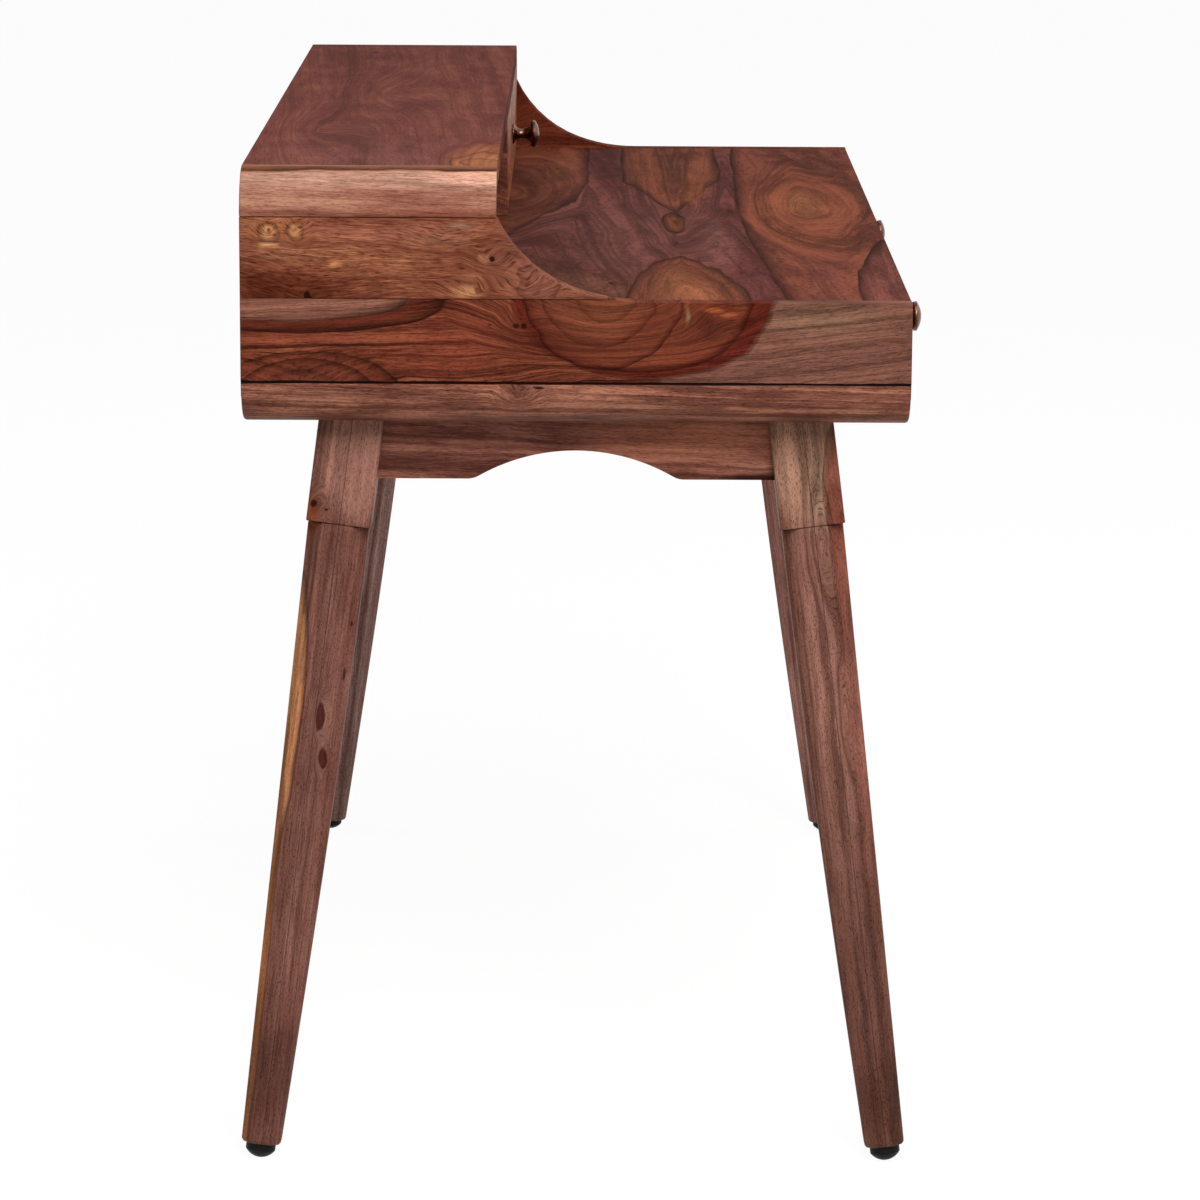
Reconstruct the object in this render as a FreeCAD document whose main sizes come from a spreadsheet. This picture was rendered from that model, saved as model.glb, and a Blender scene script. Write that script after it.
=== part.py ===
import FreeCAD, Part
import math
import os
import re
import Sketcher

# Solid wood writing desk with a raised hutch along its back edge, on four splayed legs.
# X runs along the desk, -Y is the front with the drawers, +Z is up. The origin lies on the
# floor, under the middle of the whole desk with its front knobs. All sizes are millimetres.

V = FreeCAD.Vector
Turn = FreeCAD.Rotation

SIZES = {
    # Carcass: a flat box of solid boards with rounded lower corners.
    "desk_length": 1180,
    "desk_depth": 590,
    "desk_top": 785,
    "carcass_tall": 112,
    "board": 20,
    "back_board": 15,
    "base_round": 40,
    # Hutch: a lower box on the back of the desk top, with rounded upper corners.
    "hutch_tall": 115,
    "hutch_depth": 224.5,
    "top_round": 41,
    # Cove that sweeps from each hutch end down to the desk top, drawn as two tangent arcs.
    "cove_run": 130.5,
    "cove_top_angle": 65,
    "cove_low_angle": 20,
    "end_lip": 5,
    # Legs: a square block, a shoulder and a tapered eight-sided lower part.
    "leg_block": 58,
    "leg_block_drop": 95.5,
    "leg_shoulder": 55.5,
    "leg_foot": 34.5,
    "leg_foot_chamfer": 2.5,
    "leg_facet_share": 0.49,
    "leg_inset_end": 85,
    "leg_inset_side": 95,
    "leg_splay": 83,
    # Glide under each leg: a short cylinder that ends in a dome with a small flat.
    "glide_radius": 13.5,
    "glide_tall": 14,
    "glide_dome": 16,
    "glide_flat": 0.8,
    "nail_radius": 1.5,
    "nail_in_leg": 18,
    "nail_in_glide": 5,
    # Aprons between the legs, arched along their lower edge.
    "apron_tall": 57,
    "apron_thick": 20,
    "apron_set": 6,
    "arch_half": 97,
    "arch_rise": 26,
    "arch_ease": 20,
    # Corner blocks, which brace the aprons and take the leg bolts.
    "brace_tall": 45,
    "brace_gap": 4,
    "brace_run": 36,
    "bolt_radius": 4,
    "bolt_hole": 4.5,
    "bolt_in_leg": 30,
    "bolt_end": 5,
    "washer_radius": 9,
    "washer_thick": 1.6,
    "nut_radius": 7.5,
    "nut_tall": 6.5,
    "screw_radius": 2.2,
    "screw_head": 4.2,
    "screw_head_tall": 2.5,
    "screw_in_board": 14,
    # Dowels.
    "dowel_radius": 4,
    "dowel_in_end": 12,
    "dowel_in_board": 20,
    "dowel_half": 20,
    "dowel_shift": 3,
    # Drawers.
    "drawer_gap": 1.5,
    "drawer_side": 12,
    "drawer_ply": 5,
    "drawer_groove": 6,
    "drawer_ply_rise": 6,
    "drawer_floor_gap": 10,
    "drawer_headroom": 12,
    "drawer_depth": 430,
    "side_gap": 5,
    "runner_tall": 14,
    "runner_rise": 19,
    "runner_bite": 5.5,
    "runner_gap": 0.3,
    "runner_setback": 12,
    "stop_wide": 40,
    "stop_thick": 18,
    "stop_tall": 22,
    "stop_gap": 0.3,
    # Spool knobs and the screws that hold them.
    "knob_long": 28,
    "knob_flange": 10.5,
    "knob_flange_thick": 1.5,
    "knob_neck": 4.75,
    "knob_neck_at": 10,
    "knob_back": 12.5,
    "knob_back_at": 19,
    "knob_head": 14,
    "knob_rim_at": 23.5,
    "knob_rim_round": 6,
    "knob_screw_radius": 2,
    "knob_screw_in": 12,
    "knob_screw_head": 4,
    "knob_screw_head_tall": 2.5,
    # One overrun for every cut that has to run past a face.
    "overrun": 30,
}

DERIVED = {
    "half_length": "desk_length / 2",
    "foot_out": "desk_depth / 2 - leg_inset_side + leg_splay + leg_foot / 2",
    "mid_y": "(knob_long + desk_depth / 2 - foot_out) / 2",
    "front_y": "mid_y - desk_depth / 2",
    "back_y": "mid_y + desk_depth / 2",
    "wall_x": "half_length - board",
    "base_z": "desk_top - carcass_tall",
    "floor_z": "base_z + board",
    "ceiling_z": "desk_top - board",
    "base_corner_x": "half_length - base_round",
    "base_corner_z": "base_z + base_round",
    "hutch_top": "desk_top + hutch_tall",
    "hutch_ceiling_z": "hutch_top - board",
    "top_corner_x": "half_length - top_round",
    "top_corner_z": "hutch_top - top_round",
    "hutch_front_y": "back_y - hutch_depth",
    "back_face_y": "back_y - back_board",
    # The two cove radii follow from its run, its drop and its two angles.
    "cove_drop": "top_corner_z - desk_top",
    "cove_low_sin": "sin(cove_low_angle * 1deg)",
    "cove_low_flat": "1 - cos(cove_low_angle * 1deg)",
    "cove_top_sin": "sin(cove_top_angle * 1deg) - cove_low_sin",
    "cove_top_flat": "1 - cove_low_flat - cos(cove_top_angle * 1deg)",
    "cove_low_radius": "(cove_run * cove_top_flat - cove_drop * cove_top_sin)"
                       " / (cove_low_sin * cove_top_flat - cove_low_flat * cove_top_sin)",
    "cove_top_radius": "(cove_drop - cove_low_radius * cove_low_flat) / cove_top_flat",
    "cove_foot_y": "hutch_front_y - cove_run",
    "cove_mid_y": "cove_foot_y + cove_low_radius * cove_low_sin",
    "cove_mid_z": "desk_top + cove_low_radius * cove_low_flat",
    "lip_z": "desk_top + end_lip",
    "lip_y": "cove_foot_y + sqrt(2 * cove_low_radius * end_lip - end_lip ^ 2)",
    "leg_x": "half_length - leg_inset_end",
    "leg_y": "desk_depth / 2 - leg_inset_side",
    "apron_low": "base_z - apron_tall",
    "apron_x": "leg_x + leg_block / 2 - apron_set",
    "apron_y": "leg_y + leg_block / 2 - apron_set",
    "brace_x": "apron_x - apron_thick",
    "brace_y": "apron_y - apron_thick",
    "brace_near": "2 * (leg_block - apron_set - apron_thick) + brace_gap",
    "brace_far": "brace_near + brace_run",
    "arch_angle": "2 * atan(arch_rise / arch_half)",
    "arch_radius": "arch_half / sin(arch_angle) - arch_ease",
    "arch_step": "arch_ease * sin(arch_angle)",
    "arch_lift": "arch_ease * (1 - cos(arch_angle))",
    "hutch_drawer_depth": "hutch_depth - back_board - stop_thick - stop_gap",
    "box_x": "wall_x - side_gap",
    "box_in_x": "board / 2 + side_gap",
    "knob_cove": "((knob_neck_at - knob_flange_thick) ^ 2 + (knob_flange - knob_neck) ^ 2)"
                 " / (2 * (knob_flange - knob_neck))",
    "knob_flare": "((knob_back_at - knob_neck_at) ^ 2 + (knob_back - knob_neck) ^ 2)"
                  " / (2 * (knob_back - knob_neck))",
    "knob_dome": "(knob_head ^ 2 + (knob_long - knob_rim_at) ^ 2)"
                 " / (2 * (knob_long - knob_rim_at))",
}

# Places along a board, as shares of its length or height.
PANEL_DOWEL_SHARES = (0.1, 0.37, 0.63, 0.9)
APRON_DOWEL_SHARES = (0.3, 0.7)
BRACE_SCREW_SHARES = (0.25, 0.75)
BOLT_HEIGHT_SHARE = 0.5
STOP_PLACE_SHARES = (0.25, 0.75)

doc = FreeCAD.newDocument("writing_desk")
sheet = doc.addObject("Spreadsheet::Sheet", "Dims")
NODES = {}


def fill_sheet():
    """Write every size and every derived size to the sheet, each with its alias."""
    rows = [(name, str(number)) for name, number in SIZES.items()]
    rows += [(name, "=" + text) for name, text in DERIVED.items()]
    for row, (name, content) in enumerate(rows, 1):
        sheet.set(f"A{row}", name)
        sheet.setAlias(f"B{row}", name)
    for row, (name, content) in enumerate(rows, 1):
        sheet.set(f"B{row}", content)
    doc.recompute()


def formula(text):
    """Turn the size names in a formula into references to the sheet."""
    known = set(SIZES) | set(DERIVED)
    return re.sub(r"[a-z_]+", lambda word: "Dims." + word.group()
                  if word.group() in known else word.group(), text)


def value(text):
    return float(sheet.evalExpression(formula(text)))


def bind(thing, **properties):
    """Bind properties to formulas; place_x stands for Placement.Base.x."""
    for name, text in properties.items():
        name = re.sub(r"^place_(.)$", r"Placement.Base.\1", name)
        thing.setExpression(name, formula(text))
    return thing


def new(kind, label):
    thing = doc.addObject(kind, label)
    thing.Label = label
    return thing


def keep(thing):
    """Count an object as one of the desk's own pieces."""
    NODES[thing.Label] = thing
    return thing


def box(label, low, size):
    thing = new("Part::Box", label)
    bind(thing, place_x=low[0], place_y=low[1], place_z=low[2])
    return bind(thing, Length=size[0], Width=size[1], Height=size[2])


def rod(label, start, along, radius, length):
    """A cylinder from a start point along a direction."""
    thing = new("Part::Cylinder", label)
    thing.Placement = FreeCAD.Placement(V(), Turn(V(0, 0, 1), V(*along)))
    bind(thing, place_x=start[0], place_y=start[1], place_z=start[2])
    return bind(thing, Radius=radius, Height=length)


def cut(label, base, *tools):
    thing = new("Part::Cut", label)
    thing.Base = base
    thing.Tool = tools[0] if len(tools) == 1 else group(label + "_tools", tools)
    return thing


def common(label, base, tool):
    thing = new("Part::Common", label)
    thing.Base = base
    thing.Tool = tool
    return thing


def fuse(label, base, tool):
    thing = new("Part::Fuse", label)
    thing.Base = base
    thing.Tool = tool
    return thing


def group(label, pieces):
    """Separate solids that share one node or one cut."""
    thing = new("Part::Compound", label)
    thing.Links = list(pieces)
    return thing


def outline_sketch(body, plane, steps, mirror=False):
    """Draw a closed outline. A step is (u, v) after a straight run, or (u, v, radius, side)
    after an arc whose centre lies left (1) or right (-1) of the way it is drawn."""
    sketch = body.newObject("Sketcher::SketchObject", body.Label + "_outline")
    support = [part for part in body.Origin.OriginFeatures if part.Role == plane][0]
    sketch.AttachmentSupport = [(support, "")]
    sketch.MapMode = "FlatFace"
    if mirror:
        steps = [(f"-({step[0]})",) + step[1:3] + tuple(-side for side in step[3:])
                 for step in steps]
    points = [V(value(step[0]), value(step[1]), 0) for step in steps]
    ends = []
    for number, step in enumerate(steps):
        start = points[number - 1]
        end = points[number]
        if len(step) == 2:
            edge = sketch.addGeometry(Part.LineSegment(start, end))
            ends.append((edge, 1, 2))
            continue
        radius = value(step[2])
        side = step[3]
        chord = end - start
        left = V(-chord.y, chord.x, 0).normalize()
        reach = math.sqrt(radius ** 2 - (chord.Length / 2) ** 2)
        centre = (start + end) / 2 + left * reach * side
        # The arc is stored counterclockwise, so one that turns right is drawn from its end.
        first, last = (start, end) if side > 0 else (end, start)
        from_angle = math.atan2(first.y - centre.y, first.x - centre.x)
        to_angle = math.atan2(last.y - centre.y, last.x - centre.x)
        if to_angle < from_angle:
            to_angle += 2 * math.pi
        circle = Part.Circle(centre, V(0, 0, 1), radius)
        edge = sketch.addGeometry(Part.ArcOfCircle(circle, from_angle, to_angle))
        ends.append((edge, 1, 2) if side > 0 else (edge, 2, 1))
    for number, step in enumerate(steps):
        edge, _, last = ends[number]
        after, first, _ = ends[(number + 1) % len(steps)]
        sketch.addConstraint(Sketcher.Constraint("Coincident", edge, last, after, first))
        for kind, text, place in (("DistanceX", step[0], points[number].x),
                                  ("DistanceY", step[1], points[number].y)):
            held = sketch.addConstraint(Sketcher.Constraint(kind, -1, 1, edge, last, place))
            sketch.setExpression(f"Constraints[{held}]", formula(text))
        if len(step) > 2:
            held = sketch.addConstraint(Sketcher.Constraint("Radius", edge, value(step[2])))
            sketch.setExpression(f"Constraints[{held}]", formula(step[2]))
    return sketch


def board(label, plane, steps, start, thick, mirror=False):
    """A board of constant thickness: its outline lies in a plane and start is its low face."""
    body = new("PartDesign::Body", label)
    sketch = outline_sketch(body, plane, steps, mirror)
    pad = body.newObject("PartDesign::Pad", label + "_pad")
    pad.Profile = sketch
    # The XZ plane faces -Y, so its boards are padded the other way, towards +Y.
    pad.Reversed = plane == "XZ_Plane"
    bind(pad, Length=thick)
    axis = {"YZ_Plane": "place_x", "XZ_Plane": "place_y", "XY_Plane": "place_z"}[plane]
    return bind(body, **{axis: start})


def mirrored(text, side):
    return text if side > 0 else f"-({text})"


def low_end(low, size, side):
    """The low X of a box that lies from low outwards on one side of the desk."""
    return low if side > 0 else f"-({low}) - ({size})"


def carcass():
    """Desk box, hutch and their dowels. The two ends are the same boards mirrored."""
    dowels = []
    for side, hand in ((-1, "left"), (1, "right")):
        for share in PANEL_DOWEL_SHARES:
            place = f"front_y + desk_depth * {share}"
            for run, height in (("wall_x", "desk_top - board / 2"),
                                ("base_corner_x", "base_z + board / 2")):
                start = mirrored(f"{run} - dowel_in_board", side)
                dowels.append(rod(f"panel_dowel_{hand}_{len(dowels)}", (start, place, height),
                                  (side, 0, 0), "dowel_radius", "dowel_in_board + dowel_in_end"))
    panel_dowels = keep(group("panel_dowels", dowels))

    desktop = box("desktop_blank", ("-wall_x", "front_y", "ceiling_z"),
                  ("2 * wall_x", "desk_depth", "board"))
    keep(cut("desktop", desktop, panel_dowels))
    for side, hand in ((-1, "left"), (1, "right")):
        start = low_end("wall_x", "board", side)
        lower = board(f"end_board_lower_{hand}_blank", "YZ_Plane", [
            ("back_y", "base_corner_z"), ("back_y", "lip_z"), ("lip_y", "lip_z"),
            ("cove_foot_y", "desk_top", "cove_low_radius", -1),
            ("front_y", "desk_top"), ("front_y", "base_corner_z")], start, "board")
        keep(cut(f"end_board_lower_{hand}", lower, panel_dowels))
        keep(board(f"end_board_upper_{hand}", "YZ_Plane", [
            ("back_y", "lip_z"), ("back_y", "top_corner_z"), ("hutch_front_y", "top_corner_z"),
            ("cove_mid_y", "cove_mid_z", "cove_top_radius", -1),
            ("lip_y", "lip_z", "cove_low_radius", -1)], start, "board"))
        base = board(f"base_moulding_{hand}_blank", "XZ_Plane", [
            ("half_length", "base_corner_z"), ("base_corner_x", "base_z", "base_round", -1),
            ("base_corner_x", "floor_z"),
            ("wall_x", "base_corner_z", "base_round - board", 1)],
            "front_y", "desk_depth", mirror=side < 0)
        keep(cut(f"base_moulding_{hand}", base, panel_dowels))
        keep(board(f"hutch_moulding_{hand}", "XZ_Plane", [
            ("half_length", "top_corner_z"), ("top_corner_x", "hutch_top", "top_round", 1),
            ("top_corner_x", "hutch_ceiling_z"),
            ("wall_x", "top_corner_z", "top_round - board", -1)],
            "hutch_front_y", "hutch_depth", mirror=side < 0))

    keep(box("hutch_top", ("-top_corner_x", "hutch_front_y", "hutch_ceiling_z"),
             ("2 * top_corner_x", "hutch_depth", "board")))
    keep(box("hutch_divider", ("-board / 2", "hutch_front_y", "desk_top"),
             ("board", "hutch_depth - back_board", "hutch_tall - board")))
    keep(box("carcass_divider", ("-board / 2", "front_y", "floor_z"),
             ("board", "desk_depth - back_board", "carcass_tall - 2 * board")))
    keep(board("carcass_back", "XZ_Plane", [
        ("-wall_x", "ceiling_z"), ("-wall_x", "base_corner_z"),
        ("-base_corner_x", "floor_z", "base_round - board", 1), ("base_corner_x", "floor_z"),
        ("wall_x", "base_corner_z", "base_round - board", 1), ("wall_x", "ceiling_z")],
        "back_face_y", "back_board"))
    keep(board("hutch_back", "XZ_Plane", [
        ("-wall_x", "desk_top"), ("wall_x", "desk_top"), ("wall_x", "top_corner_z"),
        ("top_corner_x", "hutch_ceiling_z", "top_round - board", 1),
        ("-top_corner_x", "hutch_ceiling_z"),
        ("-wall_x", "top_corner_z", "top_round - board", 1)],
        "back_face_y", "back_board"))
    bottom = box("bottom_blank", ("-base_corner_x", "front_y", "base_z"),
                 ("2 * base_corner_x", "desk_depth", "board"))
    return bottom, panel_dowels


def corner_place(side, end):
    """X and Y formulas of the corner where two aprons would meet, from the desk's middle."""
    return mirrored("brace_x", side), f"mid_y + {mirrored('brace_y', end)}"


CORNERS = [(side, end, f"{'front' if end < 0 else 'back'}_{'left' if side < 0 else 'right'}")
           for end in (-1, 1) for side in (-1, 1)]


def leg_placement(side, end):
    """Turn and place a leg whose own axis runs down -Z from the middle of its top."""
    way = V(side * value("leg_splay"), end * value("leg_splay"),
            value("glide_dome - glide_flat - base_z"))
    top = V(side * value("leg_x"), value("mid_y") + end * value("leg_y"), value("base_z"))
    return FreeCAD.Placement(top, Turn(V(0, 0, -1), way)), way.Length


def tapered(label, angle, reach, scale):
    """A square taper from the shoulder to the foot, turned about the leg's axis."""
    wedge = new("Part::Wedge", label)
    wide = f"leg_shoulder / 2 * {scale}"
    thin = f"leg_foot / 2 * {scale}"
    bind(wedge, Ymin="leg_block_drop", Ymax=reach, Xmin=f"-{wide}", Xmax=wide, Zmin=f"-{wide}",
         Zmax=wide, X2min=f"-{thin}", X2max=thin, Z2min=f"-{thin}", Z2max=thin)
    wedge.Placement = FreeCAD.Placement(V(), Turn(V(0, 0, 1), angle) * Turn(V(1, 0, 0), -90))
    return wedge


def legs(bolts, apron_dowels):
    """Splayed legs, each with a nailed glide. The leg is built upright, then turned."""
    pieces = []
    glides = []
    nails = []
    splay = "2 * leg_splay ^ 2"
    drop = "(base_z - glide_dome + glide_flat) ^ 2"
    reach = f"sqrt({splay} + {drop}) + glide_dome - glide_tall"
    diagonal_scale = "(2 - leg_facet_share) / sqrt(2)"
    for side, end, corner in CORNERS:
        place, _ = leg_placement(side, end)
        eight = common(f"taper_{corner}", tapered(f"taper_square_{corner}", 0, reach, "1"),
                       tapered(f"taper_turned_{corner}", 45, reach, diagonal_scale))
        doc.recompute()
        foot_z = -value(reach)
        chamfer = new("Part::Chamfer", f"taper_eased_{corner}")
        chamfer.Base = eight
        trim = value("leg_foot_chamfer")
        chamfer.Edges = [(number, trim, trim) for number, edge in enumerate(eight.Shape.Edges, 1)
                         if max(abs(corner_point.Z - foot_z) for corner_point in edge.Vertexes)
                         < trim / 2]
        block = box(f"leg_block_{corner}",
                    ("-leg_block / 2", "-leg_block / 2", "-leg_block_drop"),
                    ("leg_block", "leg_block", "leg_block_drop + overrun"))
        whole = fuse(f"leg_blank_{corner}", block, chamfer)
        whole.Placement = place
        above = box(f"leg_top_cut_{corner}",
                    (f"{mirrored('leg_x', side)} - leg_block",
                     f"mid_y + {mirrored('leg_y', end)} - leg_block", "base_z"),
                    ("2 * leg_block", "2 * leg_block", "2 * overrun"))

        nail = rod(f"nail_{corner}", ("0 * overrun", "0 * overrun", f"-({reach}) - nail_in_glide"),
                   (0, 0, 1), "nail_radius", "nail_in_glide + nail_in_leg")
        nail_placed = group(f"glide_nail_{corner}", [nail])
        nail_placed.Placement = place
        nails.append(nail_placed)

        collar = rod(f"glide_collar_{corner}",
                     ("0 * overrun", "0 * overrun", f"-({reach}) - glide_tall"),
                     (0, 0, 1), "glide_radius", "glide_tall")
        dome = new("Part::Sphere", f"glide_dome_{corner}")
        bind(dome, Radius="glide_dome", place_z=f"-({reach}) - glide_tall + glide_dome")
        domed = common(f"glide_domed_{corner}", collar, dome)
        domed.Placement = place
        ground = box(f"ground_{corner}",
                     (f"{mirrored('leg_x + leg_splay', side)} - 2 * glide_dome",
                      f"mid_y + {mirrored('leg_y + leg_splay', end)} - 2 * glide_dome",
                      "-overrun"),
                     ("4 * glide_dome", "4 * glide_dome", "overrun"))
        glides.append(cut(f"glide_{corner}", domed, ground, nail_placed))
        pieces.append(keep(cut(f"leg_{corner}", whole, above, nail_placed, bolts, apron_dowels)))
    keep(group("glides", glides))
    keep(group("glide_nails", nails))
    return pieces


def apron_steps(half, middle, plane_mid):
    """Apron outline from end to end, with one ease and one long arc at each side of the arch.
    half is its half length and middle the half width of the arch at its widest."""
    low = "apron_low"
    lift = "apron_low + arch_lift"
    peak = "apron_low + arch_rise"
    ease = ("arch_ease",)
    if middle == "arch_half":
        crown = [(f"{plane_mid} + {middle} - arch_step", lift, "arch_radius", -1)]
    else:
        crown = [(f"{plane_mid} - {middle} + arch_half", peak, "arch_radius", -1),
                 (f"{plane_mid} + {middle} - arch_half", peak),
                 (f"{plane_mid} + {middle} - arch_step", lift, "arch_radius", -1)]
    return ([(f"{plane_mid} - {half}", "base_z"), (f"{plane_mid} - {half}", low),
             (f"{plane_mid} - {middle}", low),
             (f"{plane_mid} - {middle} + arch_step", lift) + ease + (1,)] + crown
            + [(f"{plane_mid} + {middle}", low) + ease + (1,), (f"{plane_mid} + {half}", low),
               (f"{plane_mid} + {half}", "base_z")])


def apron_dowel_group():
    dowels = []
    for side, end, corner in CORNERS:
        for share in APRON_DOWEL_SHARES:
            height = f"base_z - apron_tall * {share}"
            across = f"leg_y - leg_block / 2 + dowel_shift - dowel_half"
            along = f"leg_x - leg_block / 2 + dowel_shift - dowel_half"
            dowels.append(rod(f"side_dowel_{corner}_{len(dowels)}",
                              (mirrored("apron_x - apron_thick / 2", side),
                               f"mid_y + {mirrored(across, end)}", height),
                              (0, end, 0), "dowel_radius", "2 * dowel_half"))
            dowels.append(rod(f"long_dowel_{corner}_{len(dowels)}",
                              (mirrored(along, side),
                               f"mid_y + {mirrored('apron_y - apron_thick / 2', end)}", height),
                              (side, 0, 0), "dowel_radius", "2 * dowel_half"))
    return keep(group("apron_dowels", dowels))


def aprons(apron_dowels, leg_pieces):
    """Four arched aprons, whose ends are cut to the splayed faces of the legs."""
    long_middle = "(leg_x - leg_y + arch_half)"
    for side, hand in ((-1, "left"), (1, "right")):
        blank = board(f"apron_{hand}_blank", "YZ_Plane", apron_steps("leg_y", "arch_half", "mid_y"),
                      low_end("apron_x - apron_thick", "apron_thick", side), "apron_thick")
        beside = [leg for leg in leg_pieces if leg.Label.endswith(hand)]
        keep(cut(f"apron_{hand}", blank, apron_dowels, *beside))
    for end, name in ((-1, "front"), (1, "back")):
        start = (f"mid_y + apron_y - apron_thick" if end > 0 else "mid_y - apron_y")
        blank = board(f"apron_{name}_blank", "XZ_Plane",
                      apron_steps("leg_x", long_middle, "0 * overrun"), start, "apron_thick")
        beside = [leg for leg in leg_pieces if name in leg.Label]
        keep(cut(f"apron_{name}", blank, apron_dowels, *beside))


def diagonal_point(side, end, run):
    """A point on the corner's diagonal, a run along each apron away from the corner."""
    corner_x, corner_y = corner_place(side, end)
    return (f"{corner_x} - {side} * ({run})", f"{corner_y} - {end} * ({run})")


def leg_bolts():
    """Hanger bolts on each corner's diagonal, with washers and nuts inside the corner blocks."""
    bolts = []
    holes = []
    washers = []
    nuts = []
    height = f"base_z - brace_tall * {BOLT_HEIGHT_SHARE}"
    # Runs are measured along an apron, so a length on the diagonal is divided by root two.
    leg_corner = "(leg_block - apron_set - apron_thick)"
    first = f"{leg_corner} - bolt_in_leg / sqrt(2)"
    face = "brace_far / 2"
    for side, end, corner in CORNERS:
        inward = (-side, -end, 0)
        start = diagonal_point(side, end, first) + (height,)
        length = (f"({face} - ({first})) * sqrt(2) + washer_thick + nut_tall + bolt_end")
        bolts.append(rod(f"bolt_{corner}", start, inward, "bolt_radius", length))
        holes.append(rod(f"bolt_hole_{corner}", start, inward, "bolt_hole", length))
        seat = diagonal_point(side, end, face) + (height,)
        disc = rod(f"washer_disc_{corner}", seat, inward, "washer_radius", "washer_thick")
        washers.append(cut(f"washer_{corner}", disc, holes[-1]))
        nut_blank = new("Part::Prism", f"nut_blank_{corner}")
        nut_blank.Polygon = 6
        nut_blank.Placement = FreeCAD.Placement(V(), Turn(V(0, 0, 1), V(*inward)))
        rest = diagonal_point(side, end, f"{face} + washer_thick / sqrt(2)") + (height,)
        bind(nut_blank, place_x=rest[0], place_y=rest[1], place_z=rest[2],
             Circumradius="nut_radius", Height="nut_tall")
        nuts.append(cut(f"nut_{corner}", nut_blank, bolts[-1]))
    keep(group("leg_washers", washers))
    keep(group("leg_nuts", nuts))
    return keep(group("leg_bolts", bolts)), group("bolt_holes", holes)


def braces(bottom, panel_dowels, bolt_holes):
    """Corner blocks across the inner corners, screwed up into the bottom board."""
    blanks = []
    screws = []
    low = "base_z - brace_tall"
    for side, end, corner in CORNERS:
        corner_x, corner_y = corner_place(side, end)
        blanks.append(board(f"brace_{corner}", "XY_Plane", [
            (corner_x, f"{corner_y} - {end} * brace_near"),
            (corner_x, f"{corner_y} - {end} * brace_far"),
            (f"{corner_x} - {side} * brace_far", corner_y),
            (f"{corner_x} - {side} * brace_near", corner_y)], low, "brace_tall"))
        for share in BRACE_SCREW_SHARES:
            run = "(brace_near + brace_far) / 2"
            place = (f"{corner_x} - {side} * {run} * {share}",
                     f"{corner_y} - {end} * {run} * (1 - {share})", low)
            shank = rod(f"screw_shank_{corner}_{len(screws)}", place, (0, 0, 1),
                        "screw_radius", "brace_tall + screw_in_board")
            head = new("Part::Cone", f"screw_head_{corner}_{len(screws)}")
            bind(head, Radius1="screw_head", Radius2="screw_radius", Height="screw_head_tall",
                 place_x=place[0], place_y=place[1], place_z=place[2])
            screws.append(fuse(f"frame_screw_{corner}_{len(screws)}", shank, head))
    frame_screws = keep(group("frame_screws", screws))
    keep(cut("corner_blocks", group("corner_blanks", blanks), frame_screws, bolt_holes))
    keep(cut("bottom_board", bottom, panel_dowels, frame_screws))


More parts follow.
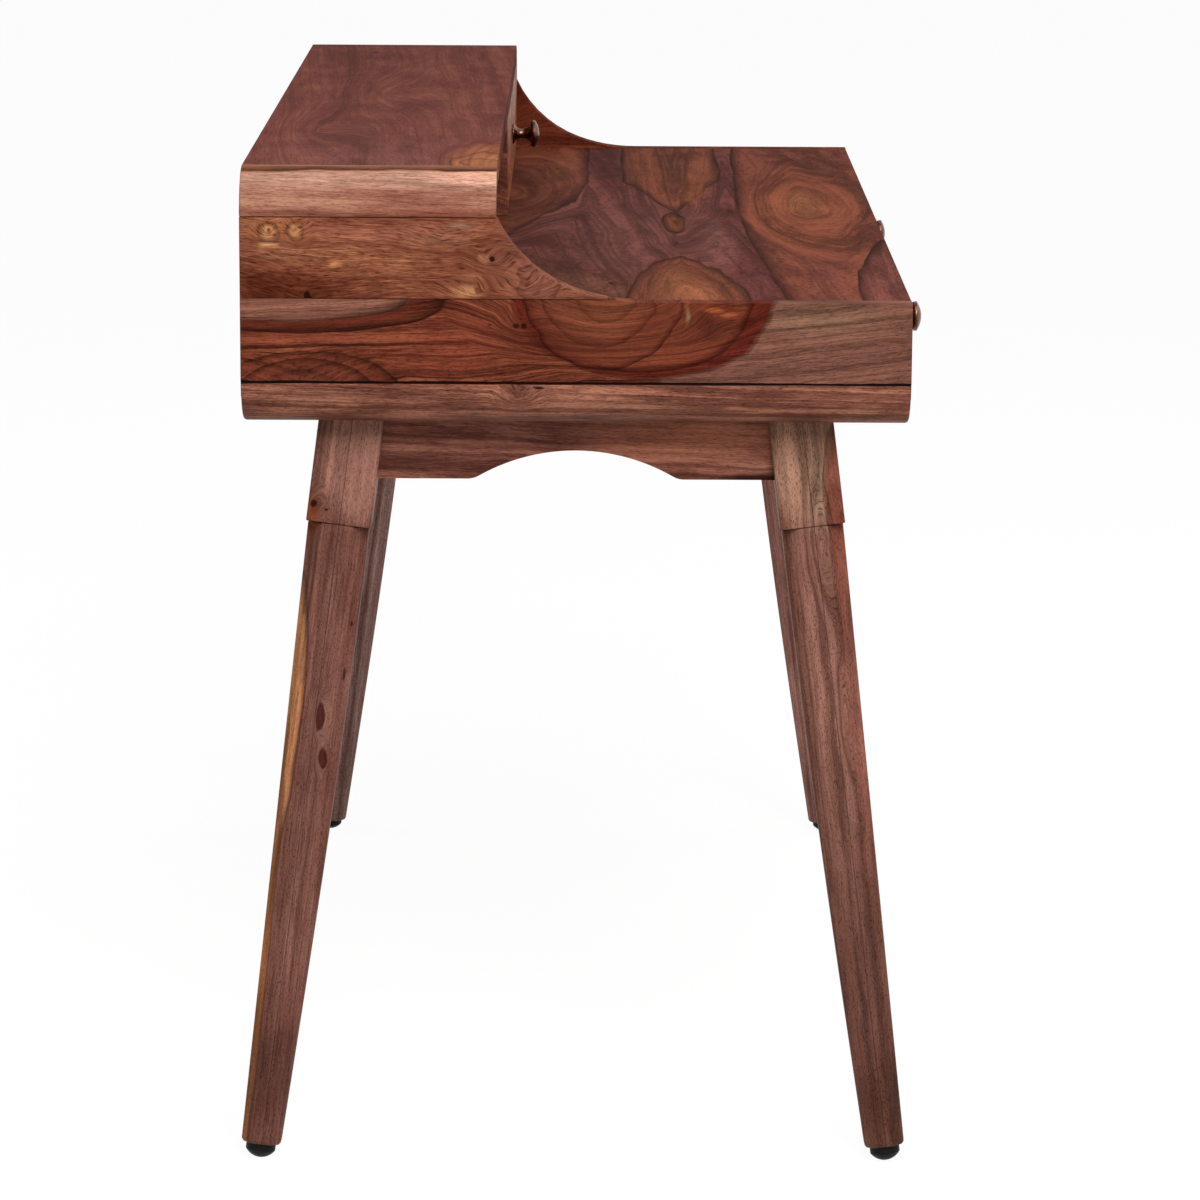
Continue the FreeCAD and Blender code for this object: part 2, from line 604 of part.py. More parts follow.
def drawer(name, side, low, high, depth, front_y, outer_steps):
    """A drawer in the left or right half: front, box, knob and screw, all hung on runners."""
    middle = mirrored("(wall_x + board / 2) / 2", side)
    box_low = f"{low} + drawer_floor_gap"
    box_high = f"{high} - drawer_headroom"
    ply_low = f"{box_low} + drawer_ply_rise"
    box_front = f"{front_y} + board"
    box_long = f"{depth} - board"
    inner = "(box_x - box_in_x - 2 * drawer_side)"
    knob_z = f"({low} + {high}) / 2"

    ply = keep(box(f"{name}_bottom",
                   (f"{middle} - {inner} / 2 - drawer_groove", f"{box_front} - drawer_groove",
                    ply_low),
                   (f"{inner} + 2 * drawer_groove", f"{box_long} + drawer_groove", "drawer_ply")))
    screw_start = (middle, f"{box_front} + knob_screw_head_tall", knob_z)
    shank = rod(f"{name}_screw_shank", screw_start, (0, -1, 0), "knob_screw_radius",
                "knob_screw_head_tall + board + knob_screw_in")
    head = rod(f"{name}_screw_head", screw_start, (0, -1, 0), "knob_screw_head",
               "knob_screw_head_tall")
    screw = keep(fuse(f"{name}_knob_screw", shank, head))
    front = board(f"{name}_front_blank", "XZ_Plane", outer_steps, front_y, "board", side < 0)
    keep(cut(f"{name}_front", front, ply, screw))

    grooves = []
    for hand, near in (("left", f"{middle} - {inner} / 2 - drawer_side"),
                       ("right", f"{middle} + {inner} / 2")):
        blank = box(f"{name}_side_{hand}_blank", (near, box_front, box_low),
                    ("drawer_side", box_long, f"{box_high} - ({box_low})"))
        outer = (near if hand == "left" else f"{near} + drawer_side - drawer_groove")
        groove = box(f"{name}_groove_{hand}",
                     (outer, f"{box_front}", f"{box_low} + runner_rise - runner_gap"),
                     ("drawer_groove", f"{box_long} + overrun", "runner_tall + 2 * runner_gap"))
        grooves.append(keep(cut(f"{name}_side_{hand}", blank, ply, groove)))
    keep(box(f"{name}_back",
             (f"{middle} - {inner} / 2", f"{front_y} + {depth} - drawer_side",
              f"{ply_low} + drawer_ply"),
             (inner, "drawer_side", f"{box_high} - ({ply_low}) - drawer_ply")))

    knob = new("PartDesign::Body", f"{name}_knob_blank")
    sketch = outline_sketch(knob, "YZ_Plane", [
        ("0 * overrun", "0 * overrun"), ("0 * overrun", "knob_flange"),
        ("-knob_flange_thick", "knob_flange"),
        ("-knob_neck_at", "knob_neck", "knob_cove", -1),
        ("-knob_back_at", "knob_back", "knob_flare", -1),
        ("-knob_rim_at", "knob_head", "knob_rim_round", 1),
        ("-knob_long", "0 * overrun", "knob_dome", 1)])
    spin = knob.newObject("PartDesign::Revolution", f"{name}_knob_turned")
    spin.Profile = sketch
    spin.ReferenceAxis = (sketch, ["H_Axis"])
    spin.Angle = 360
    bind(knob, place_x=middle, place_y=front_y, place_z=knob_z)
    keep(cut(f"{name}_knob", knob, screw))

    # Runner strips on the carcass walls, from the back board to just behind the front.
    strips = []
    for hand, wall in (("outer", "wall_x - side_gap - runner_bite"), ("inner", "board / 2")):
        start = low_end(wall, "side_gap + runner_bite", side)
        strips.append(box(f"{name}_runner_{hand}",
                          (start, f"{box_front} + runner_setback", f"{box_low} + runner_rise"),
                          ("side_gap + runner_bite",
                           f"back_face_y - ({box_front}) - runner_setback", "runner_tall")))
    keep(group(f"{name}_runners", strips))

    # Stop blocks behind the drawer's back.
    stops = []
    for share in STOP_PLACE_SHARES:
        place = f"{middle} - {inner} / 2 + {inner} * {share} - stop_wide / 2"
        stops.append(box(f"{name}_stop_{len(stops)}",
                         (place, f"{front_y} + {depth} + stop_gap", low),
                         ("stop_wide", "stop_thick", "stop_tall")))
    return stops


def drawers():
    """Two drawers under the desk top and one in the right half of the hutch."""
    near = "board / 2 + drawer_gap"
    far = "wall_x - drawer_gap"
    low_round = [
        (near, "ceiling_z - drawer_gap"), (near, "floor_z + drawer_gap"),
        ("base_corner_x", "floor_z + drawer_gap"),
        (far, "base_corner_z", "base_round - board - drawer_gap", 1),
        (far, "ceiling_z - drawer_gap")]
    high_round = [
        (near, "hutch_ceiling_z - drawer_gap"), (near, "desk_top + drawer_gap"),
        (far, "desk_top + drawer_gap"), (far, "top_corner_z"),
        ("top_corner_x", "hutch_ceiling_z - drawer_gap", "top_round - board - drawer_gap", 1)]
    stops = []
    for side, hand in ((-1, "left"), (1, "right")):
        stops += drawer(f"{hand}_drawer", side, "floor_z", "ceiling_z", "drawer_depth",
                        "front_y", low_round)
    stops += drawer("hutch_drawer", 1, "desk_top", "hutch_ceiling_z", "hutch_drawer_depth",
                    "hutch_front_y", high_round)
    keep(group("drawer_stops", stops))


def check_and_export():
    """Stop on any failed object or bad shape, then write one file for each piece."""
    doc.recompute()
    failed = [thing.Label for thing in doc.Objects
              if "Invalid" in thing.State or "Error" in thing.State]
    if failed:
        raise RuntimeError(f"objects that failed: {failed}")
    for label, thing in NODES.items():
        shape = thing.Shape
        if shape.isNull() or not shape.isValid() or not shape.Solids:
            raise RuntimeError(f"{label} has no valid solid")
    os.makedirs("parts", exist_ok=True)
    for label, thing in NODES.items():
        thing.Shape.exportStep(os.path.join("parts", f"{label}.step"))
    whole = Part.Compound([thing.Shape for thing in NODES.values()]).BoundBox
    print(f"{len(NODES)} nodes, box X {whole.XMin:.1f} to {whole.XMax:.1f}, "
          f"Y {whole.YMin:.1f} to {whole.YMax:.1f}, Z {whole.ZMin:.2f} to {whole.ZMax:.1f}")


fill_sheet()
bottom_blank, carcass_dowels = carcass()
frame_dowels = apron_dowel_group()
hanger_bolts, hanger_holes = leg_bolts()
leg_nodes = legs(hanger_bolts, frame_dowels)
aprons(frame_dowels, leg_nodes)
braces(bottom_blank, carcass_dowels, hanger_holes)
drawers()
check_and_export()
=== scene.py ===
import math

import bmesh
import bpy
from mathutils import Matrix, Vector


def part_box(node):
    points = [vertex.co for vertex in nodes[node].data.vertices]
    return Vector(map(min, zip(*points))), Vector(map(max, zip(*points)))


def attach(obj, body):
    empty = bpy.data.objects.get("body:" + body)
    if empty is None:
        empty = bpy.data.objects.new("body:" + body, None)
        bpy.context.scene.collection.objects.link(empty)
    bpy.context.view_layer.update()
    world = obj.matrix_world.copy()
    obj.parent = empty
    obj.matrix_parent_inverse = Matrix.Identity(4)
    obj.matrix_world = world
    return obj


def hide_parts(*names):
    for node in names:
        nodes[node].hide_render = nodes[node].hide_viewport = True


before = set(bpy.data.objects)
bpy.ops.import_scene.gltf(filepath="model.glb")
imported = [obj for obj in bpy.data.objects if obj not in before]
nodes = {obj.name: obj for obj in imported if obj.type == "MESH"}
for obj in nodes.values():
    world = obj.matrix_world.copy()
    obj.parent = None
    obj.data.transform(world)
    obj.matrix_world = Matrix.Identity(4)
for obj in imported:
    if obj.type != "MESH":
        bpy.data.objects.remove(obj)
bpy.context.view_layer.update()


# ----------------------------------------
# Lower end boards: solid sheesham 20 mm thick, with the foot of the cove sawn into the top.
# They are glued between the desk top and the corner mouldings, sanded and lacquered satin.
# The left one shows a large swirl with dark growth lines, and pale sapwood at both ends.
MM = 0.001
# Arcs turn by this much a step, and corners closer than the merge distance become one.
ROUND_STEP = math.radians(6)
MERGE = 1e-6
HANDS = ((-1, "left"), (1, "right"))
low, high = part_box("desktop")
middle_y = (low.y + high.y) / 2
front_y, back_y = low.y, high.y
desk_z = high.z
board = high.z - low.z
wall_x = high.x
end_x = wall_x + board


def linear(code):
    """An sRGB hex colour as the linear colour that shaders take."""
    parts = [int(code[place:place + 2], 16) / 255 for place in (1, 3, 5)]
    return [part / 12.92 if part <= 0.04045 else ((part + 0.055) / 1.055) ** 2.4
            for part in parts] + [1]


def add(tree, kind, links=None, out=0, stops=None, **settings):
    """Adds one node with its settings, links or socket values and stops; gives one output."""
    node = tree.nodes.new("ShaderNode" + kind)
    for name, setting in settings.items():
        setattr(node, name, setting)
    for socket, source in (links or {}).items():
        if isinstance(source, bpy.types.NodeSocket):
            tree.links.new(source, node.inputs[socket])
        else:
            node.inputs[socket].default_value = source
    if stops:
        ramp = node.color_ramp
        for place, colour in stops[1:-1]:
            ramp.elements.new(place)
        for element, (place, colour) in zip(ramp.elements, stops):
            element.position = place
            element.color = linear(colour) if isinstance(colour, str) else [colour] * 3 + [1]
    return node.outputs[out]


def new_material(name):
    """Starts a material; gives it, its node tree and its shader."""
    material = bpy.data.materials.new(name)
    material.use_nodes = True
    return material, material.node_tree, material.node_tree.nodes["Principled BSDF"]


# Lacquered sheesham: chocolate, red-brown and orange heartwood in bands that follow the growth
# rings, near-black ring lines, grey-brown sapwood, fibres about 1 mm wide and short dark pores.
# Ink draws the ring lines and the edges of the figures. Full depth, a middle and a half depth
# without end, lets a figure run through the board.
INK, KNOT_INK, GLUE_INK = "#240F0B", "#1A0B08", "#190C0A"
PORE_SHADE = (0.40, 0.32, 0.31, 1)
RUN_ON = 1e6
FULL_DEPTH = (0, RUN_ON)


def sheesham(name, along, across, origin, tones, eyes=(), zones=(), knots=(), joints=(),
             slope=1.0, lean=0.03, wander=(26, 9), swirl=2.5, ring=24, lines=0.7, pores=0.6,
             banding=1.0, streaks=0.9, mottle=0.6, fibres=0.6, contrast=1.0, rough_edge=(8, 2),
             rim=2.0, dots=0.19, depth=FULL_DEPTH, stretch=1, seed=0.0, gloss=0.03,
             roughness=0.40):
    """Sheesham for one board. Lengths are millimetres in the board's own plane: along the
    grain, then across it, from origin. An eye (along, across, half length, half width, rise)
    bends the rings round it. A zone (along, across, half length, half width, colour, cover,
    softness, ink) paints an oval of other wood, with an ink line round it. Both may end in how
    pointed the oval is, below 0 if blunt, and in True where it runs on past its middle as a
    tongue. A knot (along, across, half length, half width, strength) is a dark oval, and a
    joint (across, half width, strength) a dark glue line. Rim is the width of the ink, dots
    the fineness of the pores, depth where in the thickness the knots lie, and stretch how much
    longer the swirls are than on the end boards."""
    material, tree, shader = new_material(name)
    along, across = Vector(along).normalized(), Vector(across).normalized()
    turn = Matrix((along, across, along.cross(across))).transposed().to_euler()
    place = add(tree, "Mapping", {"Vector": add(tree, "TexCoord", out="Object"),
                                  "Location": origin, "Rotation": turn,
                                  "Scale": (MM, MM, MM)}, vector_type="TEXTURE")
    # The seed moves the pattern along, so that no two boards match.
    shift = (seed * 371, seed * 191, seed * 153)
    shifted = add(tree, "VectorMath", {0: place, 1: shift})
    # Slow drift of the grain, long along the board, a tighter swirl, and the ragged edge that
    # only the ovals get.
    bent = ragged = place
    for scale, detail, reach in (((0.0042, 0.015, 0.015), 1, (wander[0], wander[1], 0)),
                                 ((0.020 / stretch, 0.045, 0.045), 2, (swirl * 1.7, swirl, 0)),
                                 ((0.020 / stretch, 0.055, 0.055), 2, (*rough_edge, 0))):
        drift = add(tree, "Mapping", {"Vector": shifted, "Scale": scale})
        drift = add(tree, "TexNoise", {"Vector": drift, "Scale": 1, "Detail": detail}, "Color")
        drift = add(tree, "VectorMath", {0: drift, 1: (0.5, 0.5, 0.5)}, operation="SUBTRACT")
        bent = ragged
        ragged = add(tree, "VectorMath", {0: drift, 1: [part * 2.4 for part in reach],
                                          2: bent}, operation="MULTIPLY_ADD")
    u, v, w = (add(tree, "SeparateXYZ", {0: bent}, axis) for axis in "XYZ")

    def oval(spot, source, deep, pointed=0, tongue=False):
        """A gradient that is 1 at an oval's middle and 0 at its edge. Deep says where in the
        thickness it lies: the middle and the half depth."""
        inside = add(tree, "Mapping", {"Vector": source, "Location": (*spot[:2], deep[0]),
                                       "Scale": (*spot[2:4], deep[1])},
                     vector_type="TEXTURE")
        if tongue:
            inside = add(tree, "VectorMath", {0: inside, 1: (0, RUN_ON, RUN_ON)},
                         operation="MINIMUM")
        if not pointed:
            return add(tree, "TexGradient", {"Vector": inside}, "Fac",
                       gradient_type="SPHERICAL")
        reach = add(tree, "VectorMath", {0: inside}, "Value", operation="LENGTH")
        inside = add(tree, "VectorMath", {0: inside}, operation="ABSOLUTE")
        corner = add(tree, "VectorMath", {0: inside, 1: (1, 1, 1)}, "Value",
                     operation="DOT_PRODUCT")
        corner = add(tree, "Math", {0: corner, 1: -pointed, 2: 1}, operation="MULTIPLY_ADD")
        return add(tree, "Math", {0: reach, 1: pointed - 1, 2: corner},
                   operation="MULTIPLY_ADD")

    rings = add(tree, "Math", {0: u, 1: lean, 2: add(tree, "Math", {0: v, 1: slope},
                                                     operation="MULTIPLY")},
                operation="MULTIPLY_ADD")
    rings = add(tree, "Math", {0: w, 1: 0.4, 2: rings}, operation="MULTIPLY_ADD")
    for eye in eyes:
        hill = add(tree, "Math", {0: oval(eye, bent, FULL_DEPTH, *eye[5:]), 1: 1.15},
                   operation="POWER")
        rings = add(tree, "Math", {0: hill, 1: eye[4], 2: rings}, operation="MULTIPLY_ADD")
    flow = add(tree, "CombineXYZ", {"X": u, "Y": rings, "Z": w})
    flow = add(tree, "VectorMath", {0: flow, 1: shift})

    def grain(source, scale, detail, harsh):
        """Noise stretched along the grain, by a scale in waves per millimetre."""
        source = add(tree, "Mapping", {"Vector": source, "Scale": scale})
        return add(tree, "TexNoise", {"Vector": source, "Scale": 1, "Detail": detail,
                                      "Roughness": harsh})

    bands = add(tree, "TexNoise", {"W": add(tree, "Math", {0: rings, 1: 1 / ring,
                                                           2: seed * 7.3},
                                            operation="MULTIPLY_ADD"),
                                   "Scale": 1, "Detail": 4, "Roughness": 0.62},
                noise_dimensions="1D")
    streak = grain(flow, (0.011, 0.20, 0.20), 3, 0.6)
    fibre = grain(flow, (0.06, 0.9, 0.9), 3, 0.65)
    cloud = grain(shifted, (0.012, 0.022, 0.022), 3, 0.55)
    shares = ((bands, banding), (streak, streaks), (cloud, mottle), (fibre, fibres))
    tone = 0.5 - 0.5 * contrast * sum(share for part, share in shares)
    for part, share in shares:
        tone = add(tree, "Math", {0: part, 1: share * contrast, 2: tone},
                   operation="MULTIPLY_ADD")
    # Thin dark growth lines, at uneven steps, that fade in and out along their length.
    narrow = add(tree, "TexNoise", {"W": add(tree, "Math", {0: rings, 1: 1.9 / ring,
                                                            2: 31.7 + seed},
                                             operation="MULTIPLY_ADD"),
                                    "Scale": 1, "Detail": 2, "Roughness": 0.5},
                 noise_dimensions="1D")
    narrow = add(tree, "ValToRGB", {0: narrow}, "Color",
                 stops=[(0.460, 0.0), (0.494, 1.0), (0.506, 1.0), (0.540, 0.0)])
    fade = add(tree, "MapRange", {"Value": add(tree, "Math", {0: cloud, 1: streak}),
                                  "From Min": 0.80, "From Max": 1.12,
                                  "To Min": lines * 0.15, "To Max": lines})
    narrow = add(tree, "Math", {0: narrow, 1: fade}, operation="MULTIPLY")
    colour = add(tree, "ValToRGB", {0: tone}, "Color",
                 stops=list(zip((0.26, 0.43, 0.57, 0.78), tones)))
    colour = add(tree, "Mix", {"Factor": narrow, "A": colour, "B": linear(INK)}, 2,
                 data_type="RGBA")
    shade = add(tree, "MapRange", {"Value": tone, "From Min": 0.25, "From Max": 0.75,
                                   "To Min": 0.58, "To Max": 1.42})
    shade = add(tree, "Math", {0: shade, 1: add(tree, "Math", {0: narrow, 1: -0.45, 2: 1},
                                                operation="MULTIPLY_ADD")},
                operation="MULTIPLY")
    worn = add(tree, "MapRange", {"Value": cloud, "From Min": 0.3, "From Max": 0.6,
                                  "To Min": 0.65})
    for zone in zones:
        paint, most, softness, ink = zone[4:8]
        inside = oval(zone, ragged, FULL_DEPTH, *zone[8:])
        cover = add(tree, "MapRange", {"Value": inside, "From Max": softness, "To Max": most},
                    interpolation_type="SMOOTHSTEP")
        other = add(tree, "VectorMath", {0: linear(paint)[:3], "Scale": shade},
                    operation="SCALE")
        colour = add(tree, "Mix", {"Factor": cover, "A": colour, "B": other}, 2,
                     data_type="RGBA")
        if ink:
            step = rim / min(zone[2:4])
            edge = add(tree, "ValToRGB", {0: inside}, "Color",
                       stops=[(0.001, 0.0), (step * 0.5, ink), (step * 1.3, ink * 0.7),
                              (min(step * 4, 0.9), 0.0)])
            edge = add(tree, "Math", {0: edge, 1: worn}, operation="MULTIPLY")
            colour = add(tree, "Mix", {"Factor": edge, "A": colour, "B": linear(INK)}, 2,
                         data_type="RGBA")
    # Open pores: short dark dashes along the grain, drawn 0.8 mm wide so that they show.
    pore = add(tree, "MapRange", {"Value": grain(flow, (dots, 1.3, 1.3), 1, 0.5),
                                  "From Min": 0.53, "From Max": 0.67, "To Max": pores})
    colour = add(tree, "Mix", {"Factor": pore, "A": colour, "B": PORE_SHADE}, 2,
                 data_type="RGBA", blend_type="MULTIPLY")
    for knot in knots:
        dark = add(tree, "MapRange", {"Value": oval(knot, place, depth), "From Max": 0.45,
                                      "To Max": knot[4]},
                   interpolation_type="SMOOTHSTEP")
        colour = add(tree, "Mix", {"Factor": dark, "A": colour, "B": linear(KNOT_INK)}, 2,
                     data_type="RGBA")
    for at, half, strength in joints:
        uneven = add(tree, "Math", {0: streak, 1: half * 2}, operation="MULTIPLY")
        gap = add(tree, "Math", {0: add(tree, "SeparateXYZ", {0: place}, "Y"), 1: at,
                                 2: uneven}, operation="COMPARE")
        gap = add(tree, "Math", {0: gap, 1: strength}, operation="MULTIPLY")
        colour = add(tree, "Mix", {"Factor": gap, "A": colour, "B": linear(GLUE_INK)}, 2,
                     data_type="RGBA")
    tree.links.new(colour, shader.inputs["Base Color"])
    shader.inputs["IOR"].default_value = 1.5
    shader.inputs["Specular IOR Level"].default_value = gloss
    satin = add(tree, "MapRange", {"Value": fibre, "From Min": 0.3, "From Max": 0.7,
                                   "To Min": roughness - 0.05, "To Max": roughness + 0.07})
    tree.links.new(satin, shader.inputs["Roughness"])
    relief = add(tree, "Math", {0: pore, 1: -0.9, 2: fibre}, operation="MULTIPLY_ADD")
    bump = add(tree, "Bump", {"Height": relief, "Strength": 0.35, "Distance": 0.00015})
    tree.links.new(bump, shader.inputs["Normal"])
    return material


def outline_face(steps, spot):
    """Fills a closed outline. A step is (u, v), or (u, v, radius, side) after an arc whose
    centre is left (1) or right (-1) of the way; spot turns (u, v) into a point."""
    mesh = bmesh.new()
    corners = [Vector(step[:2]) for step in steps]
    normal = (spot(1, 0) - spot(0, 0)).cross(spot(0, 1) - spot(0, 0))
    for number, step in enumerate(steps):
        start, end = corners[number - 1], corners[number]
        first = mesh.verts.new(spot(*start))
        if len(step) == 2:
            mesh.edges.new((first, mesh.verts.new(spot(*end))))
            continue
        radius, side = step[2:]
        chord = end - start
        reach = math.sqrt(radius ** 2 - (chord.length / 2) ** 2)
        left = Vector((-chord.y, chord.x)).normalized()
        centre = (start + end) / 2 + left * reach * side
        angle = side * 2 * math.asin(chord.length / 2 / radius)
        bmesh.ops.spin(mesh, geom=[first], cent=spot(*centre), axis=normal, angle=angle,
                       steps=max(3, round(abs(angle) / ROUND_STEP)))
    bmesh.ops.remove_doubles(mesh, verts=mesh.verts, dist=MERGE)
    bmesh.ops.contextual_create(mesh, geom=mesh.edges[:])
    return mesh


def push(mesh, way, faces=None):
    """Gives a flat outline, or the last faces of a stack, a thickness; gives the moved faces."""
    moved = bmesh.ops.extrude_face_region(mesh, geom=faces or mesh.faces[:])["geom"]
    bmesh.ops.translate(mesh, vec=way, verts=[part for part in moved
                                              if isinstance(part, bmesh.types.BMVert)])
    return [part for part in moved if isinstance(part, bmesh.types.BMFace)]


def ease_edges(mesh, edges, offset, segments):
    """Rounds some edges over, as a router or sandpaper does."""
    bmesh.ops.bevel(mesh, geom=edges, offset=offset, offset_type="OFFSET", segments=segments,
                    profile=0.5, affect="EDGES", material=-1, clamp_overlap=True)


# Edges sharper than this are eased, but the glue joint's edges only by this little.
SHARP, GLUE_EASE = math.radians(25), 0.25 * MM


def finish(mesh, name, material, replaced, ease=0.8 * MM, segments=3, body="carcass",
           slot="lacquered_rosewood", seam=None, flat=True):
    """Eases the sharp edges, makes the object, ties it to its body and hides the nodes that it
    replaces. The slot is not used. Edges of the glue joint at height seam stay nearly sharp, and
    flat faces shade as flat."""
    bmesh.ops.recalc_face_normals(mesh, faces=mesh.faces)
    for glued, offset in ((True, GLUE_EASE), (False, ease)):
        sharp = [edge for edge in mesh.edges
                 if len(edge.link_faces) == 2 and edge.calc_face_angle() > SHARP
                 and glued == (seam is not None and all(abs(vert.co.z - seam) < 0.5 * MM
                                                        for vert in edge.verts))]
        if sharp and offset:
            ease_edges(mesh, sharp, offset, segments)
    data = bpy.data.meshes.new(name)
    mesh.to_mesh(data)
    mesh.free()
    data.shade_smooth()
    piece = bpy.data.objects.new(name, data)
    bpy.context.scene.collection.objects.link(piece)
    if flat:
        even = piece.modifiers.new("even_normals", "WEIGHTED_NORMAL")
        even.keep_sharp = True
    data.materials.append(material)
    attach(piece, body)
    if replaced:
        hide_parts(*replaced)


# The cove is two tangent arcs that turn by these angles over this run. The two end boards meet
# this far above the desk top.
COVE_RUN = 130.5 * MM
COVE_ANGLES = (math.radians(20), math.radians(65))
LIP = 2.5 * MM
hutch_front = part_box("hutch_divider")[0].y
hutch_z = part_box("hutch_top")[1].z
top_round = 41 * MM
base_round = 40 * MM
top_corner_z = hutch_z - top_round
base_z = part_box("bottom_board")[0].z
base_corner_z = base_z + base_round
low_sin, low_flat = math.sin(COVE_ANGLES[0]), 1 - math.cos(COVE_ANGLES[0])
top_sin = math.sin(COVE_ANGLES[1]) - low_sin
top_flat = 1 - low_flat - math.cos(COVE_ANGLES[1])
cove_drop = top_corner_z - desk_z
cove_low = ((COVE_RUN * top_flat - cove_drop * top_sin)
            / (low_sin * top_flat - low_flat * top_sin))
cove_top = (cove_drop - cove_low * low_flat) / top_flat
cove_foot = hutch_front - COVE_RUN
lip_y = cove_foot + math.sqrt(2 * cove_low * LIP - LIP ** 2)
lip_z = desk_z + LIP
# Heights of the glue lines, in millimetres as all places in the wood are.
base_glue, lip_glue, hutch_glue = base_corner_z / MM, lip_z / MM, top_corner_z / MM

# How the grain of the ends lies: along the depth, across the height, measured from the middle.
END_LAY = ((0, -1, 0), (0, 0, 1), (0, middle_y, 0))
# The end boards are rubbed matt, so that they stay dark at a low angle.
MATT = dict(gloss=0.004, roughness=0.55)
SAP = "#754D40"
lower_wood = {
    "left": dict(
        seed=1.0, lean=-0.02, ring=17, lines=0.8, wander=(8, 3), swirl=1.9,
        streaks=0.6, fibres=1.1, rim=1.3, rough_edge=(5, 1.6),
        tones=("#4A2019", "#60301F", "#723A2A", "#8E4E34"),
        eyes=((30, 792, 150, 72, 104), (-240, 704, 100, 40, 30),
              (-300, 800, 240, 42, 30), (-50, 765, 24, 18, 22),
              (118, 776, 40, 26, -26), (-100, 690, 120, 60, 20),
              (420, 770, 330, 160, -30)),
        zones=((330, 740, 262, 160, SAP, 1.0, 0.02, 0),
               (290, 700, 190, 24, "#8B5F4E", 0.5, 0.9, 0),
               (215, 772, 80, 22, "#7C5C49", 0.7, 0.9, 0),
               (60, 790, 118, 74, "#5A2319", 1.0, 0.05, 0.4),
               (58, 788, 99, 66, "#743A28", 0.85, 0.10, 0.85),
               (24, 792, 70, 68, "#6C3626", 0.7, 0.12, 0.95),
               (20, 790, 50, 46, "#7C4630", 0.6, 0.3, 0.6),
               (26, 790, 28, 24, "#7A442C", 0.5, 0.5, 0.5),
               (-110, 745, 90, 50, "#7A3A2A", 0.5, 0.9, 0),
               (-240, 754, 90, 8, "#8A4532", 0.5, 0.9, 0),
               (122, 758, 32, 22, "#552A1F", 0.6, 0.9, 0),
               (96, 773, 3, 12, "#86704C", 0.8, 0.9, 0),
               (119, 779, 14, 4, "#A45630", 0.9, 0.8, 0),
               (134, 774, 11, 3, "#B05F36", 0.9, 0.8, 0),
               (112, 768, 9, 9, "#4E241A", 0.6, 0.9, 0.3),
               (-238, 708, 86, 34, "#6E3526", 0.7, 0.10, 0.9),
               (-236, 706, 60, 30, "#683527", 0.6, 0.10, 0.9),
               (-240, 704, 38, 22, "#5C3024", 0.6, 0.2, 0.5),
               (-300, 800, 178, 40, "#5E2A1E", 0.95, 0.16, 1.0, -0.4),
               (-300, 798, 157, 29, "#865747", 1.0, 0.03, 0.9, -0.3)),
        knots=((-53, 764, 3.6, 2.6, 0.8), (-46, 764, 3, 3.4, 0.8),
               (-76, 765, 2.5, 2, 0.5)),
        joints=((base_glue, 1.4, 1.0), (lip_glue, 0.6, 0.6))),
    "right": dict(
        seed=4.0, lean=0.04, ring=24,
        tones=("#461D15", "#5A261A", "#6A3021", "#804128"),
        eyes=((-60, 740, 190, 60, 120), (200, 760, 120, 50, 80)),
        zones=((-250, 690, 190, 34, SAP, 1.0, 0.05, 0.6),),
        joints=((base_glue, 1.4, 1.0),)),
}
for side, hand in HANDS:
    wood = sheesham(f"sheesham_end_lower_{hand}", *END_LAY, **MATT, **lower_wood[hand])
    mesh = outline_face([(back_y, base_corner_z), (back_y, lip_z), (lip_y, lip_z),
                         (cove_foot, desk_z, cove_low, -1), (front_y, desk_z),
                         (front_y, base_corner_z)],
                        lambda u, v: Vector((side * wall_x, u, v)))
    push(mesh, (side * board, 0, 0))
    finish(mesh, f"end_lower_{hand}", wood, [f"end_board_lower_{hand}"], seam=lip_z)


